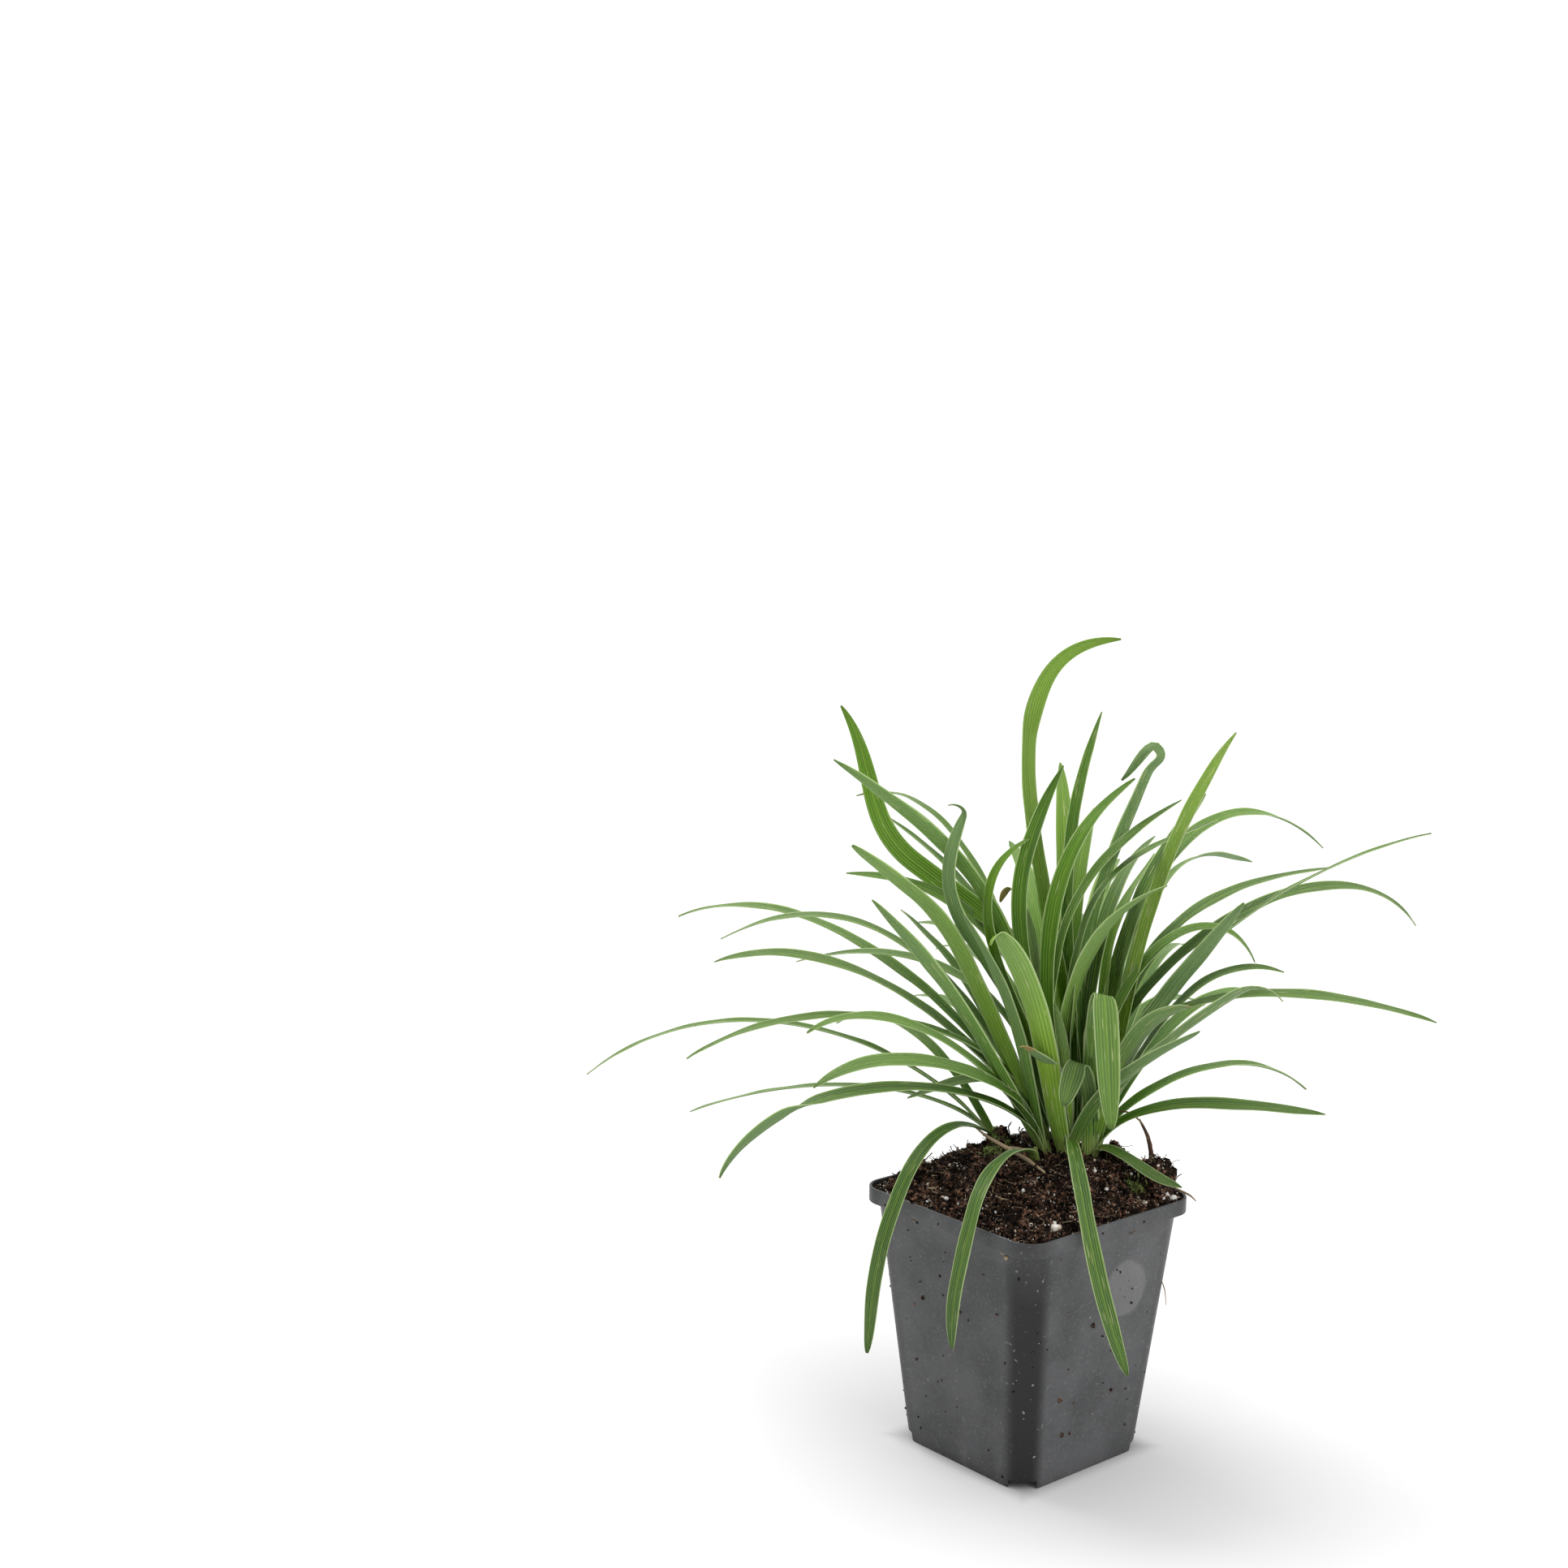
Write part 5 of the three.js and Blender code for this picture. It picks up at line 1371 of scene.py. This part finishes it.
class LIRIOPE_OT_stage(bpy.types.Operator):
    """Sets the floor, the soft studio light and the camera"""

    bl_idname = "liriope.stage"
    bl_label = "Stage"

    def execute(self, context):
        settings = context.scene.liriope.stage
        self.add_floor(context.scene.liriope.colors)
        self.add_sky(context, settings)
        self.add_lamp(context, "key", settings.key, settings.key_heading, settings.key_height)
        self.add_lamp(context, "fill", settings.fill, settings.fill_heading, settings.fill_height)
        self.add_camera(context, settings)
        context.scene.view_settings.view_transform = "Standard"
        return {"FINISHED"}

    def add_floor(self, colors):
        reach = 6.0
        corners = [(-reach, -reach, 0.0), (reach, -reach, 0.0), (reach, reach, 0.0), (-reach, reach, 0.0)]
        floor = add_object("floor", mesh_from("floor", corners, [(0, 1, 2, 3)]))
        finish = Finish("studio_floor", Roughness=0.8, Specular_IOR_Level=0.0, Emission_Strength=0.46)
        finish.surface.inputs["Base Color"].default_value = (*colors.floor, 1.0)
        x, y, _ = finish.separate(finish.place())
        # The floor's glow is taken away under and round the pot: a painted contact shadow under its base
        # and a painted soft shadow round it.
        outside_painted_contact_shadow = abs(x).at_least(abs(y)).between(0.031, 0.040)
        outside_painted_soft_shadow = ((x * x + y * y) ** 0.5).between(0.02, 0.18)
        glow_with_painted_shadows = outside_painted_contact_shadow * 0.45 + outside_painted_soft_shadow * 0.55
        finish.feed(Emission_Color=finish.mix(glow_with_painted_shadows, (0.0, 0.0, 0.0), (1.0, 1.0, 1.0)))
        floor.data.materials.append(finish.material)

    def add_sky(self, context, settings):
        """White all round, and dimmer on one side of the camera."""
        world = bpy.data.worlds.new("studio")
        world.use_nodes = True
        context.scene.world = world
        sky = Tree(world.node_tree)
        background = world.node_tree.nodes["Background"]
        way = sky.node("ShaderNodeTexCoord").outputs["Generated"]
        heading = settings.camera_turn[1] - DIM_TURN
        camera_side = Vector((math.sin(heading), -math.cos(heading), -0.2)).normalized()
        toward = sky.value(
            "ShaderNodeVectorMath", {"operation": "DOT_PRODUCT"}, {0: way, 1: camera_side}, "Value")
        strength = settings.sky - toward.between(-0.1, 0.8) * (settings.sky * 0.5)
        world.node_tree.links.new(strength.socket, background.inputs["Strength"])
        background.inputs["Color"].default_value = (1.0, 1.0, 1.0, 1.0)

    def add_lamp(self, context, name, strength, heading, height):
        light = bpy.data.lights.new(name, "SUN")
        light.angle = math.radians(30)
        light.energy = strength
        lamp = bpy.data.objects.new(name, light)
        context.scene.collection.objects.link(lamp)
        toward = Vector((
            math.cos(heading) * math.cos(height),
            math.sin(heading) * math.cos(height),
            math.sin(height),
        ))
        lamp.matrix_world = toward.to_track_quat("Z", "Y").to_matrix().to_4x4()

    def add_camera(self, context, settings):
        lens = bpy.data.cameras.new("camera")
        lens.sensor_width = 36.0
        lens.lens = settings.focal_length
        lens.clip_start = 0.01
        camera = bpy.data.objects.new("camera", lens)
        context.scene.collection.objects.link(camera)
        pitch, heading, roll = settings.camera_turn
        turn = Matrix.Rotation(heading, 4, "Z") @ Matrix.Rotation(pitch, 4, "X")
        turn = turn @ Matrix.Rotation(roll, 4, "Z")
        camera.matrix_world = Matrix.Translation(settings.camera_place) @ turn
        context.scene.camera = camera


class LIRIOPE_OT_pot(bpy.types.Operator):
    """Builds the moulded pot with its lip, corner slots and drain holes"""

    bl_idname = "liriope.pot"
    bl_label = "Pot"

    def execute(self, context):
        per_corner = 18
        rings = [square_ring(*ring, per_corner) for ring in pot_rings()]
        pot = add_object("pot_shell", mesh_from("pot_shell", *loft(rings)))
        cutter = add_object("drain_cutter", drain_cutter())
        cut = pot.modifiers.new("Drains", "BOOLEAN")
        cut.operation = "DIFFERENCE"
        cut.solver = "EXACT"
        cut.object = cutter
        pot = baked(pot)
        bpy.data.objects.remove(cutter)
        pot.data.set_sharp_from_angle(angle=math.radians(40))
        settle(pot, pot_finish(context.scene.liriope.colors), "pot_plastic", "pot")
        return {"FINISHED"}


class LIRIOPE_OT_compost(bpy.types.Operator):
    """Fills the pot with compost and strews crumbs, grains and fibres on it"""

    bl_idname = "liriope.compost"
    bl_label = "Compost"

    def execute(self, context):
        colors = context.scene.liriope.colors
        settings = context.scene.liriope.compost
        peat = peat_finish("peat", colors, 0.08)
        parts = [compost_bed()]
        for seed, (x, y, radius, flatness) in enumerate(CLODS):
            parts.append(rough_ball(ground(x, y, radius * flatness * 0.3), radius, flatness, seed * 3.1))
        bed = add_object("compost_bed", mesh_from("compost_bed", *joined(parts)))
        settle(bed, peat, "compost", "soil")
        clods = crumb_rule("Clods", 3)
        crumbs = crumb_rule("Crumbs", 2)
        grains = crumb_rule("Grains", 1)
        shreds = strand_rule("Shreds", -0.9, 0.3)
        fibres = strand_rule("Fibres", -0.3, 0.15)
        grit = grit_finish(colors)
        fibre = fibre_finish("fibre", colors)
        # Rule, name, material, density, smallest, largest, flatness, lift, roughness and inside.
        litter = [
            (clods, "clods", peat, settings.clods, 0.0014, 0.0038, 0.75, -0.0003, 0.0028, 0.0385),
            (crumbs, "crumbs", peat, settings.crumbs, 0.0005, 0.0019, 0.6, 0.0002, 0.0013, 0.0432),
            (grains, "fines", peat, settings.fines, 0.0002, 0.0008, 0.7, 0.0001, 0.0005, 0.0442),
            (shreds, "shreds", peat, settings.shreds, 0.0015, 0.0050, 0.06, 0.0004, 0.0020, 0.0415),
            (crumbs, "perlite", grit, settings.perlite, 0.0003, 0.0009, 0.85, 0.0003, 0.0004, 0.0420),
            (grains, "dust", grit, settings.dust, 0.00014, 0.00042, 1.0, 0.0004, 0.0001, 0.0430),
            (fibres, "fibres", fibre, settings.fibres, 0.0015, 0.0060, 0.03, 0.0004, 0.0016, 0.0400),
        ]
        for index, row in enumerate(litter):
            rule, name, material, density, least, most, flat, lift, rough, inside = row
            piece = rule.run(
                f"compost_{name}", bed, material, Density=density, Seed=settings.seed + index,
                Smallest=least, Largest=most, Flatness=flat, Lift=lift, Roughness=rough,
                Centre=CROWN, Within=EVERYWHERE, Inside=inside, Facing=UP)
            settle(piece, material, "compost", "soil")
        return {"FINISHED"}


class LIRIOPE_OT_litter(bpy.types.Operator):
    """Lays the stones, the twigs and the moss on the compost"""

    bl_idname = "liriope.litter"
    bl_label = "Stones, twigs and moss"

    def execute(self, context):
        colors = context.scene.liriope.colors
        stones = [
            rough_ball(ground(x, y, radius * 0.5), radius, flatness, 40 + index * 1.9, level=3)
            for index, (x, y, radius, flatness) in enumerate(STONES)
        ]
        piece = add_object("stones", mesh_from("stones", *joined(stones)))
        settle(piece, grit_finish(colors), "compost", "soil")
        twigs = [strand(points, radii) for points, radii in TWIGS]
        bark = fibre_finish("bark", colors, 0.25)
        piece = add_object("twigs", mesh_from("twigs", *joined(twigs)))
        settle(piece, bark, "compost", "soil")
        bed = bpy.data.objects["compost_bed"]
        rule = strand_rule("Moss", -1.5, -0.35)
        moss = moss_finish(colors)
        for index, ((x, y), reach) in enumerate(MOSS):
            piece = rule.run(
                f"moss_{index + 1}", bed, moss, Density=4.0e6, Seed=index, Smallest=0.0008,
                Largest=0.0030, Flatness=0.09, Lift=0.0002, Roughness=0.0010,
                Centre=ground(x, y), Within=reach, Inside=EVERYWHERE, Facing=UP)
            settle(piece, moss, "compost", "soil")
        return {"FINISHED"}


class LIRIOPE_OT_shoots(bpy.types.Operator):
    """Grows the leaves of every shoot from its sheath"""

    bl_idname = "liriope.shoots"
    bl_label = "Leafy shoots"

    def execute(self, context):
        settings = context.scene.liriope.leaves
        finish = leaf_finish(context.scene.liriope.colors)
        seed = 0
        for name, (foot, leaves) in SHOOTS.items():
            mesh = shoot_mesh(f"leaves_of_{name}", foot, leaves, settings, seed)
            settle(add_object(mesh.name, mesh), finish, "leaf", name)
            seed += len(leaves) + 1
        return {"FINISHED"}


class LIRIOPE_OT_dry_stalk(bpy.types.Operator):
    """Stands the withered flower stalk in the compost"""

    bl_idname = "liriope.dry_stalk"
    bl_label = "Dry stalk"

    def execute(self, context):
        colors = context.scene.liriope.colors
        x, y = STALK_FOOT
        low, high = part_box("dry_stalk")
        line = [(x, y, low[2]), (x + 0.0006, y + 0.0006, 0.104), (x + 0.0014, y + 0.0013, 0.111),
                (x + 0.0004, y + 0.0003, 0.119), (x - 0.0022, y - 0.0021, high[2])]
        stalk = strand(line, [0.0010, 0.0010, 0.0010, 0.0008, 0.0004], sides=10)
        tip = [(x - 0.0020, y - 0.0019, high[2] - 0.0006), (x - 0.0045, y - 0.0043, high[2] + 0.0022),
               (x - 0.0072, y - 0.0068, high[2] + 0.0028), (x - 0.0095, y - 0.0090, high[2] + 0.0020)]
        parts = joined([stalk, strand(tip, [0.0004, 0.0004, 0.0003, 0.0001])])
        piece = add_object("dry_stalk_detail", mesh_from("dry_stalk_detail", *parts))
        settle(piece, fibre_finish("dry_stem", colors, 2.0), "dry_stem", "dry_stalk")
        return {"FINISHED"}


class LIRIOPE_OT_pot_litter(bpy.types.Operator):
    """Sticks a few crumbs and specks of dust to the pot's walls"""

    bl_idname = "liriope.pot_litter"
    bl_label = "Crumbs on the pot"

    def execute(self, context):
        colors = context.scene.liriope.colors
        pot = bpy.data.objects["pot_shell"]
        rule = crumb_rule("Specks", 1)
        peat = peat_finish("stuck_peat", colors, 0.08)
        grit = grit_finish(colors)
        fibre = fibre_finish("stuck_fibre", colors)
        sides = {"front": (0.0, -1.0, 0.0), "right": (1.0, 0.0, 0.0),
                 "back": (0.0, 1.0, 0.0), "left": (-1.0, 0.0, 0.0)}
        for index, (side, facing) in enumerate(sides.items()):
            common = {
                "Flatness": 0.5, "Lift": 0.0, "Centre": Vector(facing) * 0.042 + Vector((0.0, 0.0, 0.05)),
                "Within": 0.058, "Inside": EVERYWHERE, "Facing": facing}
            crumbs = rule.run(
                f"pot_crumbs_{side}", pot, peat, Density=9000.0, Seed=30 + index, Smallest=0.00014,
                Largest=0.0009, Roughness=0.0003, **common)
            settle(crumbs, peat, "compost", "soil")
            dust = rule.run(
                f"pot_dust_{side}", pot, grit, Density=6000.0, Seed=50 + index, Smallest=0.00008,
                Largest=0.00026, Roughness=0.0001, **common)
            settle(dust, grit, "compost", "soil")
        for name, material, bits in (("stuck_crumbs", peat, STUCK_PEAT), ("stuck_bark", fibre, STUCK_BARK)):
            balls = [
                rough_ball((x, y, z), radius, 1.1, 70 + index * 2.3, level=3)
                for index, (x, y, z, radius) in enumerate(bits)
            ]
            settle(add_object(name, mesh_from(name, *joined(balls))), material, "compost", "soil")
        hairs = joined([strand(line, [0.0002, 0.00025, 0.0001], sides=5) for line in STUCK_HAIRS])
        settle(add_object("stuck_hairs", mesh_from("stuck_hairs", *hairs)), fibre, "compost", "soil")
        return {"FINISHED"}


class LIRIOPE_PT_panel(bpy.types.Panel):
    """Lists the steps that build the plant"""

    bl_idname = "LIRIOPE_PT_panel"
    bl_label = "Potted liriope"
    bl_space_type = "VIEW_3D"
    bl_region_type = "UI"
    bl_category = "Liriope"

    def draw(self, context):
        for operator in OPERATORS:
            self.layout.operator(operator.bl_idname)


OPERATORS = (
    LIRIOPE_OT_stage,
    LIRIOPE_OT_pot,
    LIRIOPE_OT_compost,
    LIRIOPE_OT_litter,
    LIRIOPE_OT_shoots,
    LIRIOPE_OT_dry_stalk,
    LIRIOPE_OT_pot_litter,
)
CLASSES = (
    LiriopeColors,
    LeafSettings,
    CompostSettings,
    StageSettings,
    LiriopeSettings,
    *OPERATORS,
    LIRIOPE_PT_panel,
)


def register():
    for kind in CLASSES:
        bpy.utils.register_class(kind)
    bpy.types.Scene.liriope = PointerProperty(
        type=LiriopeSettings, name="Liriope", description="Settings of the potted liriope")


def unregister():
    del bpy.types.Scene.liriope
    for kind in reversed(CLASSES):
        bpy.utils.unregister_class(kind)


def main():
    register()
    for operator in OPERATORS:
        group, name = operator.bl_idname.split(".")
        getattr(getattr(bpy.ops, group), name)()


if __name__ == "__main__":
    main()
